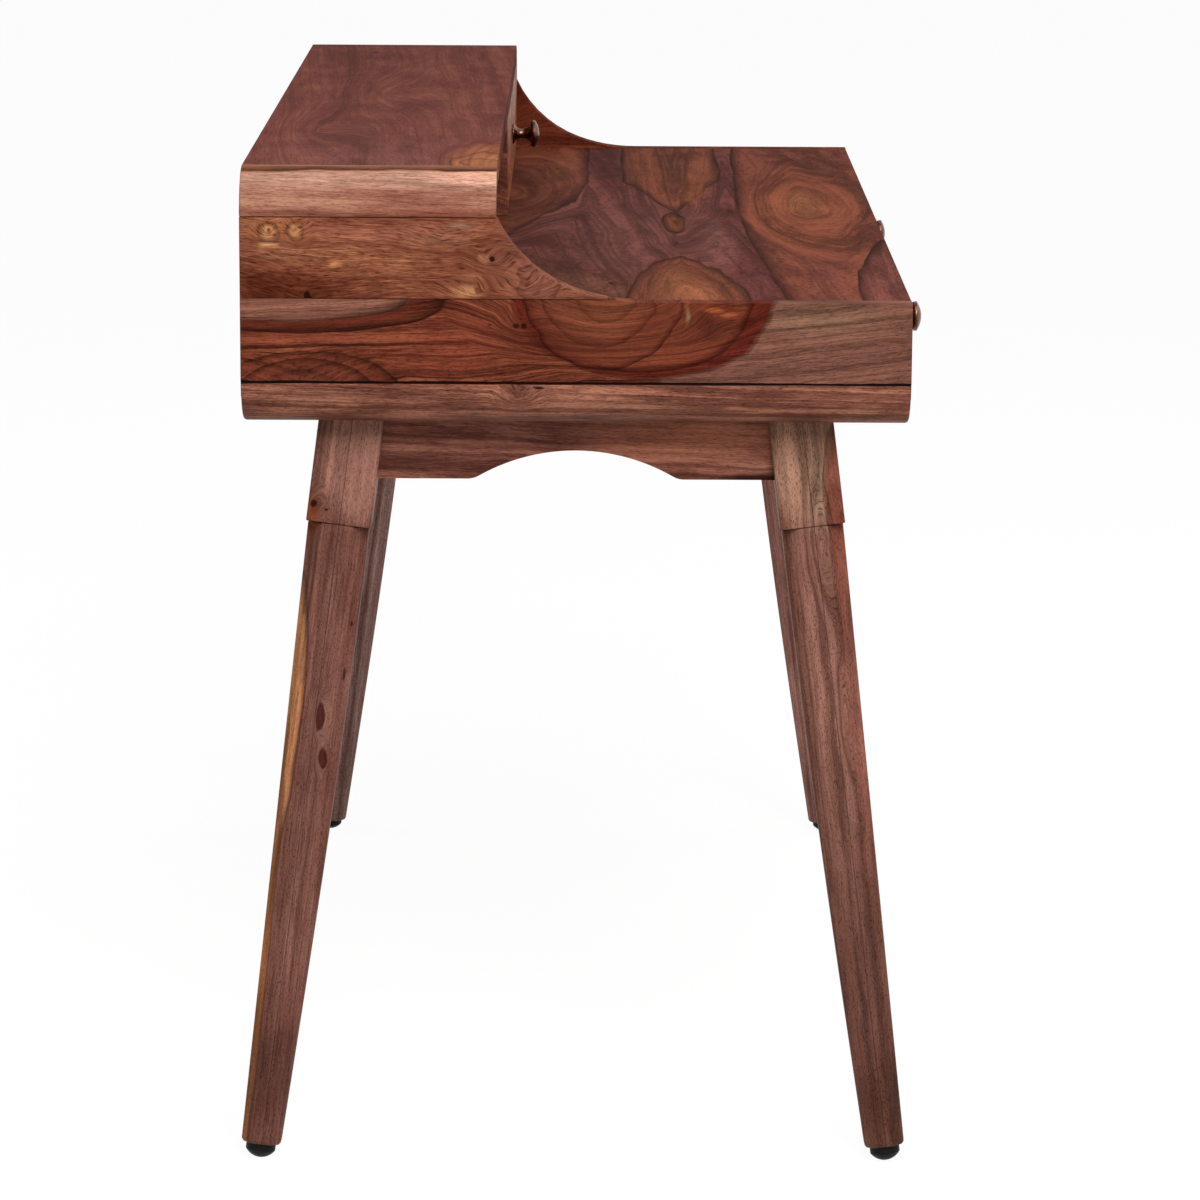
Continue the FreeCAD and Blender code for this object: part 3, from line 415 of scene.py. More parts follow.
# ----------------------------------------
# Upper end boards: one board each, bandsawn to the sweep of the cove and sanded round its edge.
# The left one is burled: small bright eyes with the grain flowing round them.
cove_mid = (cove_foot + cove_low * low_sin, desk_z + cove_low * low_flat)
BURL = "#CC9164"
upper_wood = {
    "left": dict(
        seed=2.0, lean=0.05, ring=9, lines=0.25, wander=(20, 4), swirl=1.4,
        banding=0.4, streaks=0.15, fibres=1.2, mottle=0.9, pores=0.9, dots=0.12,
        tones=("#683629", "#7D4732", "#8C543D", "#AA7050"),
        eyes=((-264, 844, 20, 14, 10), (-236, 845, 20, 14, 11),
              (-236, 790, 16, 10, 4), (-250, 790, 110, 40, 17),
              (-74, 822, 22, 14, 12), (-92, 793, 44, 16, 14),
              (-50, 798, 40, 28, 20), (-110, 838, 50, 16, 8)),
        zones=((-255, 848, 60, 17, "#AE6E4C", 0.8, 0.9, 0),
               (-250, 794, 88, 34, "#693222", 0.85, 0.6, 0.35),
               (-248, 796, 42, 19, "#562818", 0.6, 0.5, 0.35),
               (-264, 845, 18, 13, "#783B29", 0.8, 0.8, 0),
               (-264, 844, 12, 9, BURL, 1.0, 0.8, 0.5),
               (-263, 844, 5, 3.4, "#8A4A32", 0.9, 0.9, 0),
               (-236, 845, 17, 13, "#783B29", 0.8, 0.8, 0),
               (-236, 845, 11, 9, BURL, 1.0, 0.8, 0.5),
               (-236, 846, 5, 3.4, "#8A4A32", 0.9, 0.9, 0),
               (-266, 834, 14, 3.0, "#D09A66", 0.9, 0.9, 0),
               (-206, 820, 9, 4, "#BC7C50", 0.7, 0.9, 0),
               (-150, 846, 110, 13, "#9A5E4C", 0.6, 0.9, 0),
               (-96, 851, 15, 4, "#B0806A", 0.8, 0.8, 0.3),
               (-112, 838, 36, 12, "#96644C", 0.6, 0.8, 0),
               (-98, 795, 20, 9, BURL, 0.8, 0.9, 0),
               (-62, 796, 13, 9, "#B87450", 0.7, 0.9, 0),
               (-74, 822, 9, 7, "#B27858", 0.8, 0.7, 0.3),
               (-20, 812, 66, 56, "#84503F", 0.8, 0.5, 0.2),
               (-36, 800, 20, 20, "#7A4A3E", 0.4, 0.4, 0.5)),
        knots=((-74, 823, 3.2, 3, 0.92), (-236, 790, 3.6, 5, 0.92),
               (-233, 787, 2.5, 3, 0.92), (-269, 848, 2.4, 1.8, 0.7),
               (-242, 850, 2.6, 1.6, 0.7), (-264, 843, 2.5, 1.5, 0.6)),
        joints=((hutch_glue, 0.6, 0.6), (lip_glue, 0.6, 0.6))),
    "right": dict(
        seed=5.0, lean=0.05, ring=26, contrast=0.7, lines=0.4,
        tones=("#481B13", "#5A2619", "#68301F", "#7E4028"),
        eyes=((-150, 830, 120, 50, 80),), joints=((hutch_glue, 0.6, 0.6),)),
}
for side, hand in HANDS:
    wood = sheesham(f"sheesham_end_upper_{hand}", *END_LAY, **MATT, **upper_wood[hand])
    mesh = outline_face([(back_y, lip_z), (back_y, top_corner_z), (hutch_front, top_corner_z),
                         (*cove_mid, cove_top, -1), (lip_y, lip_z, cove_low, -1)],
                        lambda u, v: Vector((side * wall_x, u, v)))
    push(mesh, (side * board, 0, 0))
    finish(mesh, f"end_upper_{hand}", wood, [f"end_board_upper_{hand}"], seam=lip_z)


# ----------------------------------------
# Corner mouldings: quarter rounds run on the spindle moulder from straight-grained sheesham,
# glued along the upper and lower corners. They are paler than the boards that they join.
PALE = ("#734233", "#875344", "#956250", "#AC7C63")
DUN = ("#673D31", "#7E4E3F", "#905B49", "#B1765E")
# The lower half of each end of the base mouldings is rounded by hand: radius, and height.
HAND_ROUND, HAND_TALL = 3.5 * MM, 26 * MM
MOULDING_EASE = 0.9 * MM
moulding_wood = {
    "hutch_left": dict(
        seed=3.0, ring=12, lines=0.3, wander=(10, 1), swirl=0.9, pores=0.55,
        rough_edge=(18, 1.3), streaks=0.8, fibres=0.8, mottle=0.8, tones=PALE,
        zones=((-40, 856, 300, 14, "#7E4730", 0.7, 0.6, 0),
               # The pale band along the top of the rounding is a painted highlight.
               (0, 891, 2000, 14, "#BD8F7A", 0.8, 0.9, 0),
               (-60, 915, 2600, 18.8, "#B06A42", 1.0, 0.03, 1.0)),
        joints=((hutch_glue, 0.6, 0.6),)),
    "hutch_right": dict(
        seed=6.0, ring=12, lines=0.25, wander=(10, 2), swirl=1.2, tones=PALE,
        joints=((hutch_glue, 0.6, 0.6),)),
    "base_left": dict(
        seed=7.0, ring=14, lines=0.3, wander=(14, 2.5), swirl=1.2, pores=0.85,
        streaks=1.2, fibres=1.0, mottle=1.1, tones=DUN,
        eyes=((-52, 700, 30, 16, 14),),
        zones=((-230, 700, 60, 14, "#94634F", 0.5, 0.9, 0),
               (60, 692, 90, 10, "#94634F", 0.5, 0.9, 0),
               (0, 720, 1200, 10, "#8A5644", 0.6, 0.2, 0),
               # The dark band along the lower half of the rounding is painted shade.
               (0, 668, 1200, 22, "#5E3C31", 0.8, 0.9, 0)),
        knots=((-33, 709, 6, 1.6, 0.92), (-200, 708, 8, 1.2, 0.5)),
        joints=((base_glue, 1.1, 1.0),)),
    "base_right": dict(
        seed=8.0, ring=14, lines=0.4, wander=(14, 2.5), swirl=1.2, tones=DUN,
        joints=((base_glue, 1.1, 1.0),)),
}


def quarter_round(side, radius, y_low, y_high, z_flat, z_corner):
    """Spins the end face of a board a quarter turn about the corner's own axis."""
    mesh = bmesh.new()
    corner_x = end_x - radius
    into = 1 if z_flat > z_corner else -1
    across = abs(z_flat - z_corner) - board / 2
    bmesh.ops.create_grid(mesh, x_segments=1, y_segments=1, size=0.5,
                          matrix=Matrix.Translation((side * corner_x, (y_low + y_high) / 2,
                                                     z_corner + into * across))
                          @ Matrix.Rotation(math.pi / 2, 4, "Y")
                          @ Matrix.Diagonal((board, y_high - y_low, 1, 1)))
    bmesh.ops.spin(mesh, geom=mesh.verts[:] + mesh.edges[:] + mesh.faces[:],
                   cent=(side * corner_x, 0, z_corner), axis=(0, 1, 0),
                   angle=side * into * math.pi / 2, steps=round(math.pi / 2 / ROUND_STEP))
    return mesh


for side, hand in HANDS:
    for part, radius, y_low, z_flat, z_corner in (
            ("hutch", top_round, hutch_front, hutch_z, top_corner_z),
            ("base", base_round, front_y, base_z, base_corner_z)):
        wood = sheesham(f"sheesham_{part}_moulding_{hand}", *END_LAY,
                        **moulding_wood[f"{part}_{hand}"])
        mesh = quarter_round(side, radius, y_low, back_y, z_flat, z_corner)
        if part == "base":
            bmesh.ops.recalc_face_normals(mesh, faces=mesh.faces)
            worn = [edge for edge in mesh.edges
                    if all(Vector((vert.co.x - side * (end_x - radius),
                                   vert.co.z - z_corner)).length > radius - MM
                           and vert.co.z < base_z + HAND_TALL for vert in edge.verts)
                    and abs(edge.verts[0].co.y - edge.verts[1].co.y) < MM]
            ease_edges(mesh, worn, HAND_ROUND, 4)
        finish(mesh, f"{part}_corner_{hand}", wood, [f"{part}_moulding_{hand}"], MOULDING_EASE)


# ----------------------------------------
# Flat boards of the carcass: desk top, hutch top, bottom, dividers and backs, all solid
# sheesham edge-glued from wide staves, planed, sanded and lacquered.
def plank(name, material, node, **settings):
    """A squared board the size of its node, with eased edges."""
    low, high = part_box(node)
    mesh = bmesh.new()
    bmesh.ops.create_cube(mesh, size=1, matrix=Matrix.Translation((low + high) / 2)
                          @ Matrix.Diagonal((*(high - low), 1)))
    finish(mesh, name, material, [node], **settings)


# The desk top shows two eyes end to end in the middle stave, and one long swirl in the front
# stave behind a dark wavy line. Places run from the left end, then forward from the middle.
# Both tops are rubbed matt.
TOP_LAY = ((1, 0, 0), (0, -1, 0), (-end_x, middle_y, 0))
TOP_MATT = dict(gloss=0.004, roughness=0.60)
desk_wood = sheesham(
    "sheesham_desk_top", *TOP_LAY, **TOP_MATT, seed=9.0, ring=18, lines=0.6, wander=(80, 4),
    swirl=2.6, stretch=4, slope=0.22, lean=0.02, mottle=0.8, streaks=1.0, fibres=0.8,
    rough_edge=(40, 2.0), rim=3.6,
    tones=("#46241F", "#582E29", "#613531", "#714038"),
    eyes=((20, 97, 330, 58, 44, 0.3), (540, 93, 90, 18, 16), (660, 97, 420, 56, 40, 0.3, True),
          (660, 228, 400, 72, 60, 0.2), (760, -72, 420, 82, 60), (80, 345, 420, 93, 24)),
    zones=((430, 50, 520, 112, "#643D36", 0.5, 0.9, 0),
           (0, -60, 345, 152, "#593527", 0.85, 0.05, 0.4, 1.0),
           (60, 14, 100, 30, "#6D4336", 0.8, 0.7, 0),
           (180, -34, 130, 26, "#4B2B22", 0.7, 0.8, 0),
           (850, -70, 390, 82, "#693929", 0.9, 0.10, 0.9, 0.3, True),
           (760, -72, 250, 52, "#532C21", 0.6, 0.3, 0.4),
           (980, -20, 260, 22, "#703F2C", 0.7, 0.8, 0),
           (960, 32, 330, 20, "#552C24", 0.6, 0.8, 0),
           (400, 134, 260, 26, "#6E443C", 0.8, 0.9, 0),
           (20, 97, 318, 57, "#77422F", 0.95, 0.05, 0.95, 0.45),
           (30, 97, 250, 44, "#845035", 0.6, 0.6, 0.5, 0.4),
           (440, 92, 60, 5, "#411F1A", 0.7, 0.9, 0, 0.5),
           (870, 97, 275, 53, "#703E2D", 0.95, 0.06, 1.0, 0.95, True),
           (760, 118, 160, 20, "#894F33", 0.6, 0.9, 0, 0.5),
           (1000, 96, 200, 20, "#5E382A", 0.6, 0.8, 0.3),
           (535, 93, 66, 13, "#7B462D", 0.95, 0.3, 1.0, 0.4),
           (760, 330, 1500, 170, "#6A392C", 1.0, 0.02, 1.0),
           (80, 222, 320, 32, "#62352B", 0.7, 0.8, 0),
           (650, 226, 420, 72, "#77412F", 0.9, 0.30, 0.3, 0.35),
           (640, 226, 290, 50, "#7D4531", 0.7, 0.5, 0.25, 0.2),
           (690, 228, 110, 34, "#885538", 0.7, 0.9, 0, 0.3),
           (80, 345, 410, 93, "#6A3C34", 1.0, 0.03, 1.0)),
    knots=((118, 31, 9, 2.4, 0.92), (139, 95, 4, 1.5, 0.6)))
plank("desk_top", desk_wood, "desktop")
hutch_wood = sheesham(
    "sheesham_hutch_top", *TOP_LAY, **TOP_MATT, seed=10.0, ring=26, lines=0.25, wander=(60, 3),
    swirl=2.4, stretch=3, slope=0.5, contrast=0.75, mottle=0.9, streaks=0.9, fibres=0.8,
    rough_edge=(26, 1.6),
    tones=("#522B25", "#63352E", "#6D3D34", "#7F4B3D"),
    eyes=((40, -66, 260, 60, 60), (620, -190, 300, 60, 24), (300, -240, 260, 50, 24)),
    zones=((18, -180, 20, 400, "#81493D", 0.6, 0.5, 0),
           (60, -190, 330, 130, "#6F433C", 0.8, 0.9, 0),
           (390, -72, 120, 26, "#492B23", 0.5, 0.9, 0),
           (12, -62, 205, 60, "#8D5339", 0.9, 0.35, 0.3, -0.4),
           (60, -70, 90, 46, "#A26A4A", 0.6, 0.4, 0.6),
           (70, -84, 34, 22, "#79442C", 0.5, 0.4, 0.6)),
    knots=((1054, -222, 14, 5, 0.4), (690, -122, 20, 1, 0.5)))
plank("hutch_lid", hutch_wood, "hutch_top")
CASE = ("#522B23", "#64372B", "#754131", "#8C553B")
FRONT_LAY = ((1, 0, 0), (0, 0, 1), (0, middle_y, 0))
case_wood = sheesham("sheesham_case", *FRONT_LAY, seed=11.0, tones=CASE,
                     eyes=((-260, 730, 240, 50, 110), (330, 740, 300, 44, 100),
                           (120, 840, 260, 60, 120)))
plank("bottom_plank", case_wood, "bottom_board")
for name in ("hutch_divider", "carcass_divider"):
    plank(name + "_plank", case_wood, name)
for node, z_low, z_high, radius in (("carcass_back", base_z + board, desk_z - board, base_round),
                                    ("hutch_back", desk_z, hutch_z - board, top_round)):
    low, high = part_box(node)
    corner_x = end_x - radius
    inner = radius - board
    if node == "hutch_back":
        steps = [(-wall_x, z_low), (wall_x, z_low), (wall_x, top_corner_z),
                 (corner_x, z_high, inner, 1), (-corner_x, z_high),
                 (-wall_x, top_corner_z, inner, 1)]
    else:
        steps = [(-wall_x, z_high), (-wall_x, base_corner_z), (-corner_x, z_low, inner, 1),
                 (corner_x, z_low), (wall_x, base_corner_z, inner, 1), (wall_x, z_high)]
    mesh = outline_face(steps, lambda u, v: Vector((u, low.y, v)))
    push(mesh, (0, high.y - low.y, 0))
    finish(mesh, node + "_plank", case_wood, [node])


# ----------------------------------------
# Aprons: four sheesham rails dowelled between the legs, with an arch bandsawn in the lower edge.
# The CAD solids have their exact ends, so these copies only get merged faces and eased edges.
RAIL = ("#553028", "#714338", "#875447", "#A66E5B")


def eased_copy(name, material, node, **settings):
    """A merged copy of a node with its flat faces joined and its edges eased."""
    mesh = bmesh.new()
    mesh.from_mesh(nodes[node].data)
    bmesh.ops.remove_doubles(mesh, verts=mesh.verts, dist=MERGE)
    bmesh.ops.dissolve_limit(mesh, angle_limit=math.radians(1), verts=mesh.verts,
                             edges=mesh.edges)
    finish(mesh, name, material, [node], **settings)


for side, hand in HANDS:
    wood = sheesham(f"sheesham_apron_{hand}", *END_LAY, seed=12.0 + side, ring=16,
                    wander=(20, 7), lines=0.4, tones=RAIL,
                    zones=((90, 660, 140, 44, "#A4664E", 0.8, 0.9, 0),
                           (160, 616, 46, 12, "#2E1511", 0.85, 0.6, 0)))
    eased_copy(f"rail_{hand}", wood, f"apron_{hand}")
for hand in ("front", "back"):
    wood = sheesham(f"sheesham_apron_{hand}", *FRONT_LAY, seed=15.0 + len(hand), ring=22,
                    wander=(26, 9), lines=0.6, tones=RAIL)
    eased_copy(f"rail_{hand}", wood, f"apron_{hand}")


# ----------------------------------------
# Legs: each glued up from two staves, square at the top, then cut back at a small shoulder and
# tapered to eight sides with a slight belly on the inside. They splay out at the corners.
# The shoulder dies away at the glue line in the middle of the outer face.
ROSE = ("#57342B", "#6A4237", "#774D43", "#8C6052")
TAN = ("#643E34", "#7A5243", "#875C50", "#9E6F60")
# The far legs take much paler tones than the near ones. This is painted light, which stands in
# for the light that the box keeps off them.
FAR_PAINTED_LIGHT = ("#8D675D", "#A98176", "#BC948B", "#DCB6AA")
# Where a leg's middle line meets the box, from the middle of the desk, and how far out it runs
# each way down to the floor.
LEG_TOP = (505 * MM, 200 * MM)
SPLAY = 83 * MM
# The block's width, its length below the box, and what is cut off level with the box.
BLOCK, BLOCK_DROP, BLOCK_WASTE = 58 * MM, 101 * MM, 30 * MM
# Half widths of the taper at its top and foot. The belly is fullest a little above its middle.
TAPER_TOP, TAPER_FOOT, TAPER_STEPS = 27.6 * MM, 17.9 * MM, 12
BELLY, BELLY_HIGH = 2.9 * MM, 0.85
# Each corner facet takes this percentage of a side. At its top the taper rises by the ridge
# along the glue line, so that the shoulder dies away there.
FACET_PERCENT = 24.5
RIDGE = 1.4 * MM
BLOCK_EASE, TAPER_EASE, FOOT_ROUND, FOOT_CORNER = 1.2 * MM, 2.2 * MM, 4 * MM, math.radians(60)
GLIDE_DOME, GLIDE_FLAT, GLIDE_TALL = 16 * MM, 0.8 * MM, 14 * MM
leg_drop = base_z - GLIDE_DOME + GLIDE_FLAT
leg_reach = math.sqrt(2 * SPLAY ** 2 + leg_drop ** 2) + GLIDE_DOME - GLIDE_TALL
leg_wood = {
    (-1, 1): dict(
        seed=21.0, tones=ROSE, lines=0.3,
        zones=((30, 12, 80, 44, "#996C5E", 0.9, 0.4, 0),
               (94, -28, 26, 14, "#7E4227", 0.9, 0.6, 0),
               (300, -46, 196, 38, "#C28458", 0.9, 0.15, 0.7),
               (640, -42, 480, 32, "#A2663F", 0.95, 0.10, 0.6),
               (250, -40, 140, 22, "#C48650", 0.7, 0.6, 0),
               (282, 6, 15, 4.5, "#4A1E17", 1.0, 0.3, 0.5),
               (316, 12, 9, 4.2, "#4A1E17", 1.0, 0.3, 0.5)),
        eyes=((85, -24, 20, 12, 24), (282, 6, 30, 9, 16), (316, 12, 20, 8, 14)),
        knots=((85, -24, 5, 4, 0.92), (89, -12, 1.5, 1.5, 0.92), (189, 23, 4, 1.6, 0.8),
               (235, 22, 9, 1.8, 0.8), (150, -27, 12, 3, 0.8)),
        joints=((1, 0.5, 0.5),)),
    (-1, -1): dict(
        seed=22.0, tones=TAN, lines=0.2, pores=0.9, wander=(14, 3), swirl=3.2,
        zones=((40, 0, 74, 44, "#9C7560", 0.85, 0.4, 0),
               (62, 8, 60, 9, "#7C6252", 0.7, 0.8, 0),
               (84, 36, 80, 24, "#84493A", 0.85, 0.25, 0.6),
               (150, 22, 90, 12, "#7A4434", 0.8, 0.5, 0.4),
               (330, 22, 300, 20, "#7A4638", 0.6, 0.8, 0),
               (560, 0, 330, 50, "#5A382E", 0.9, 0.8, 0)),
        eyes=((40, 30, 90, 20, 40), (280, 10, 60, 8, 16), (120, 4, 80, 14, 24)),
        joints=((1, 0.5, 0.5),)),
    (1, 1): dict(seed=23.0, tones=FAR_PAINTED_LIGHT, lines=0.4),
    (1, -1): dict(
        seed=24.0, tones=FAR_PAINTED_LIGHT, lines=0.4,
        zones=((300, 0, 700, 60, "#8A5142", 0.6, 0.5, 0),)),
}
for (side, end), grain_set in leg_wood.items():
    corner = f"{'front' if end < 0 else 'back'}_{'left' if side < 0 else 'right'}"
    top = Vector((side * LEG_TOP[0], middle_y + end * LEG_TOP[1], base_z))
    way = Vector((side * SPLAY, end * SPLAY, -leg_drop))
    tilt = Vector((0, 0, -1)).rotation_difference(way).to_matrix().to_4x4()
    stand = Matrix.Translation(top) @ tilt
    down, forward = tilt @ Vector((0, 0, -1)), tilt @ Vector((0, -1, 0))
    wood = sheesham(f"sheesham_leg_{corner}", down, forward, top,
                    **{"ring": 14, "wander": (20, 3), "swirl": 1.2, "pores": 0.75,
                       "lean": 0.01, "dots": 0.38, "depth": (24, 14), "roughness": 0.44,
                       **grain_set})
    mesh = bmesh.new()
    bmesh.ops.create_cube(mesh, size=1,
                          matrix=Matrix.Translation((0, 0, (BLOCK_WASTE - BLOCK_DROP) / 2))
                          @ Matrix.Diagonal((BLOCK, BLOCK, BLOCK_DROP + BLOCK_WASTE, 1)))
    bmesh.ops.transform(mesh, matrix=stand, verts=mesh.verts)
    bmesh.ops.bisect_plane(mesh, geom=mesh.verts[:] + mesh.edges[:] + mesh.faces[:],
                           plane_co=(0, 0, base_z), plane_no=(0, 0, 1), clear_outer=True)
    bmesh.ops.holes_fill(mesh, edges=[edge for edge in mesh.edges if edge.is_boundary])
    finish(mesh, f"leg_block_{corner}", wood, None, BLOCK_EASE)

    mesh = bmesh.new()
    bmesh.ops.create_grid(mesh, x_segments=1, y_segments=1, size=1)
    bmesh.ops.bevel(mesh, geom=mesh.verts[:], offset=FACET_PERCENT, offset_type="PERCENT",
                    segments=1, profile=0.5, affect="VERTICES", material=-1)
    last = mesh.faces[:]
    for _ in range(TAPER_STEPS):
        last = push(mesh, (0, 0, -1 / TAPER_STEPS), last)
    for vert in mesh.verts:
        share = -vert.co.z
        half = TAPER_TOP + share * (TAPER_FOOT - TAPER_TOP)
        inner = half + BELLY * math.sin(math.pi * min(max(share, 0), 1) ** BELLY_HIGH)
        vert.co = Vector((vert.co.x * (half if vert.co.x * side > 0 else inner),
                          vert.co.y * (half if vert.co.y * end > 0 else inner),
                          -BLOCK_DROP - share * (leg_reach - BLOCK_DROP)))
    bmesh.ops.bisect_plane(mesh, geom=mesh.verts[:] + mesh.edges[:] + mesh.faces[:],
                           plane_co=(0, 0, 0), plane_no=(0, 1, 0))
    for vert in mesh.verts:
        if (abs(vert.co.y) < 1e-5 and vert.co.z > -BLOCK_DROP - MM
                and abs(vert.co.x) > TAPER_FOOT):
            vert.co.x += math.copysign(RIDGE, vert.co.x)
    foot = min(vert.co.z for vert in mesh.verts)
    ease_edges(mesh, [edge for edge in mesh.edges
                      if not edge.is_boundary
                      and all(vert.co.z < foot + MM for vert in edge.verts)
                      and edge.calc_face_angle() > FOOT_CORNER], FOOT_ROUND, 4)
    bmesh.ops.transform(mesh, matrix=stand, verts=mesh.verts)
    finish(mesh, f"leg_{corner}_taper", wood, [f"leg_{corner}"], TAPER_EASE, 4, flat=False)


# ----------------------------------------
# Drawers: sheesham fronts on hardwood boxes with thin plywood bottoms, each drawer hung on
# wooden runner strips in the grooves of its sides.
FRONT_EASE, BOX_EASE, FLOOR_EASE = 1 * MM, 0.6 * MM, 0.2 * MM
# The gap between a front and the rounding of the box's end.
FRONT_GAP = 1.5 * MM
# The boxes are plain brown hardwood with fine straight grain, the bottoms pale birch ply with a
# wide soft figure.
BOX = ("#6E4838", "#8A5F4A", "#9A6D56", "#B08468")
BOX_LAY = ((1, 0, 0), (0, 0, 1), (0, 0, 0))
box_wood = sheesham("hardwood_drawer_box", (0, 1, 0), (0, 0, 1), (0, 0, 0), BOX, seed=30.0,
                    ring=14, lines=0.1, wander=(20, 4), roughness=0.5)
back_wood = sheesham("hardwood_drawer_back", *BOX_LAY, BOX, seed=31.0, ring=14, lines=0.1,
                     wander=(20, 4), roughness=0.5)
ply_wood = sheesham("birch_plywood", (1, 0, 0), (0, 1, 0), (0, 0, 0),
                    ("#A8835E", "#B8936C", "#C29E76", "#CFAE88"), seed=32.0, ring=34,
                    lines=0.05, wander=(40, 16), pores=0.2, contrast=0.8, roughness=0.55)
fronts = {
    "left_drawer": dict(seed=33.0, tones=CASE, eyes=((-290, 730, 240, 44, 110),)),
    "right_drawer": dict(seed=34.0, tones=CASE, eyes=((240, 725, 260, 44, 110),)),
    "hutch_drawer": dict(seed=35.0, tones=("#6B2F1C", "#8C4A30", "#A8603F", "#C07A4C"),
                         eyes=((330, 830, 240, 50, 120),)),
}
for drawer, figure in fronts.items():
    wood = sheesham(f"sheesham_{drawer}", *BOX_LAY, ring=18, **figure)
    low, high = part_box(f"{drawer}_front")
    side = 1 if low.x + high.x > 0 else -1
    if drawer == "hutch_drawer":
        steps = [(low.x, high.z), (low.x, low.z), (high.x, low.z), (high.x, top_corner_z),
                 (end_x - top_round, high.z, top_round - board - FRONT_GAP, 1)]
    else:
        near, far = (low.x, high.x) if side > 0 else (high.x, low.x)
        steps = [(near, high.z), (near, low.z), (side * (end_x - base_round), low.z),
                 (far, base_corner_z, base_round - board - FRONT_GAP, side), (far, high.z)]
    mesh = outline_face(steps, lambda u, v: Vector((u, low.y, v)))
    push(mesh, (0, high.y - low.y, 0))
    finish(mesh, f"{drawer}_face", wood, [f"{drawer}_front"], FRONT_EASE, body=drawer)
    inner = dict(body=drawer, slot="inner_hardwood", ease=BOX_EASE)
    for hand in ("left", "right"):
        eased_copy(f"{drawer}_board_{hand}", box_wood, f"{drawer}_side_{hand}", **inner)
    plank(f"{drawer}_board_back", back_wood, f"{drawer}_back", **inner)
    plank(f"{drawer}_floor", ply_wood, f"{drawer}_bottom", body=drawer, slot="birch_ply",
          ease=FLOOR_EASE)


# ----------------------------------------
# Spool knobs: solid brass turned on a lathe, plated antique copper and lacquered, so they are
# glossy, with dark brown reflections and pink highlights. One screw from inside holds each.
# The profile runs from the drawer face outwards: distance, radius, then the arc to get there.
KNOB = ((0, 0), (0, 10.5), (1.5, 10.5), (10, 4.75, 9.157, 1), (19, 12.5, 9.10, 1),
        (23.5, 14, 6, -1), (28, 0, 24.03, -1))
KNOB_STEPS = 48


def speckled(name, scale, detail, stops, shine=None):
    """Starts a material whose colour drifts between stops. Shine is the range of a metal's
    roughness. Gives the material, its tree, its shader and its noise."""
    material, tree, shader = new_material(name)
    noise = add(tree, "TexNoise", {"Vector": add(tree, "TexCoord", out="Object"),
                                   "Scale": scale, "Detail": detail})
    tree.links.new(add(tree, "ValToRGB", {0: noise}, "Color", stops=stops),
                   shader.inputs["Base Color"])
    if shine:
        shader.inputs["Metallic"].default_value = 1
        tree.links.new(add(tree, "MapRange", {"Value": noise, "To Min": shine[0],
                                              "To Max": shine[1]}), shader.inputs["Roughness"])
    return material, tree, shader, noise


copper, *_ = speckled("antique_copper_plate", 160, 3, [(0.35, "#4A2D25"), (0.62, "#6E4A3E")],
                      (0.20, 0.34))
for drawer in fronts:
    low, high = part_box(f"{drawer}_knob")
    hub = Vector(((low.x + high.x) / 2, high.y, (low.z + high.z) / 2))
    mesh = outline_face([[part * MM for part in step[:3]] + list(step[3:]) for step in KNOB],
                        lambda u, v: hub + Vector((0, -u, v)))
    bmesh.ops.delete(mesh, geom=mesh.faces[:], context="FACES_ONLY")
    bmesh.ops.delete(mesh, context="EDGES",
                     geom=[edge for edge in mesh.edges
                           if all(abs(vert.co.z - hub.z) < MERGE for vert in edge.verts)])
    bmesh.ops.spin(mesh, geom=mesh.verts[:] + mesh.edges[:], cent=hub, axis=(0, 1, 0),
                   angle=2 * math.pi, steps=KNOB_STEPS, use_merge=True)
    bmesh.ops.remove_doubles(mesh, verts=mesh.verts, dist=MERGE)
    finish(mesh, f"{drawer}_pull", copper, [f"{drawer}_knob"], 0, body=drawer,
           slot="copper_knob")


# ----------------------------------------
# The bought and hidden parts: glides of moulded black plastic with a faint grain, bright zinc
# nails, screws and bolts, satin and slightly cloudy, beech dowels with short pale flecks, and
# runners, stops and corner blocks of the drawers' plain wood.
plastic, tree, shader, texture = speckled("black_moulded_plastic", 1500, 2,
                                          [(0.3, "#0C0D0D"), (0.7, "#161817")])
shader.inputs["Roughness"].default_value = 0.5
shader.inputs["Specular IOR Level"].default_value = 0.1
tree.links.new(add(tree, "Bump", {"Height": texture, "Strength": 0.3, "Distance": 0.0001}),
               shader.inputs["Normal"])
zinc, *_ = speckled("zinc_plated_steel", 300, 4, [(0.3, "#A6A8A8"), (0.7, "#C8C9C6")],
                    (0.25, 0.45))
dowel_wood = sheesham("beech_dowel", *BOX_LAY, ("#B08A62", "#C29C72", "#CCA87E", "#D8B68C"),
                      seed=40.0, ring=5, lines=0.0, pores=0.3, contrast=0.7, roughness=0.55)
kept = {"glides": plastic, "glide_nails": zinc, "leg_bolts": zinc, "leg_washers": zinc,
        "leg_nuts": zinc, "frame_screws": zinc, "panel_dowels": dowel_wood,
        "apron_dowels": dowel_wood, "corner_blocks": back_wood, "drawer_stops": back_wood}
for drawer in fronts:
    kept[f"{drawer}_knob_screw"] = zinc
    kept[f"{drawer}_runners"] = box_wood
for node, material in kept.items():
    nodes[node].data.materials.clear()
    nodes[node].data.materials.append(material)


# ----------------------------------------
# Floor: a plain pale studio floor that runs out of sight. It shows white to the camera and
# keeps the soft shadow under the desk. Metal and glass mirror it and see it white too.
FLOOR_HALF = 60
# How much of the floor's own look the backdrop's white covers, and how bright that white is.
WHITE_SHARE, WHITE = 0.88, 1.07


def white_rays(tree):
    """1 for the rays that see the backdrop itself, direct, through glass or in a reflection."""
    rays = tree.nodes.new("ShaderNodeLightPath").outputs
    seen = add(tree, "Math", {0: rays["Is Camera Ray"], 1: rays["Is Transmission Ray"]})
    return add(tree, "Math", {0: seen, 1: rays["Is Glossy Ray"]})


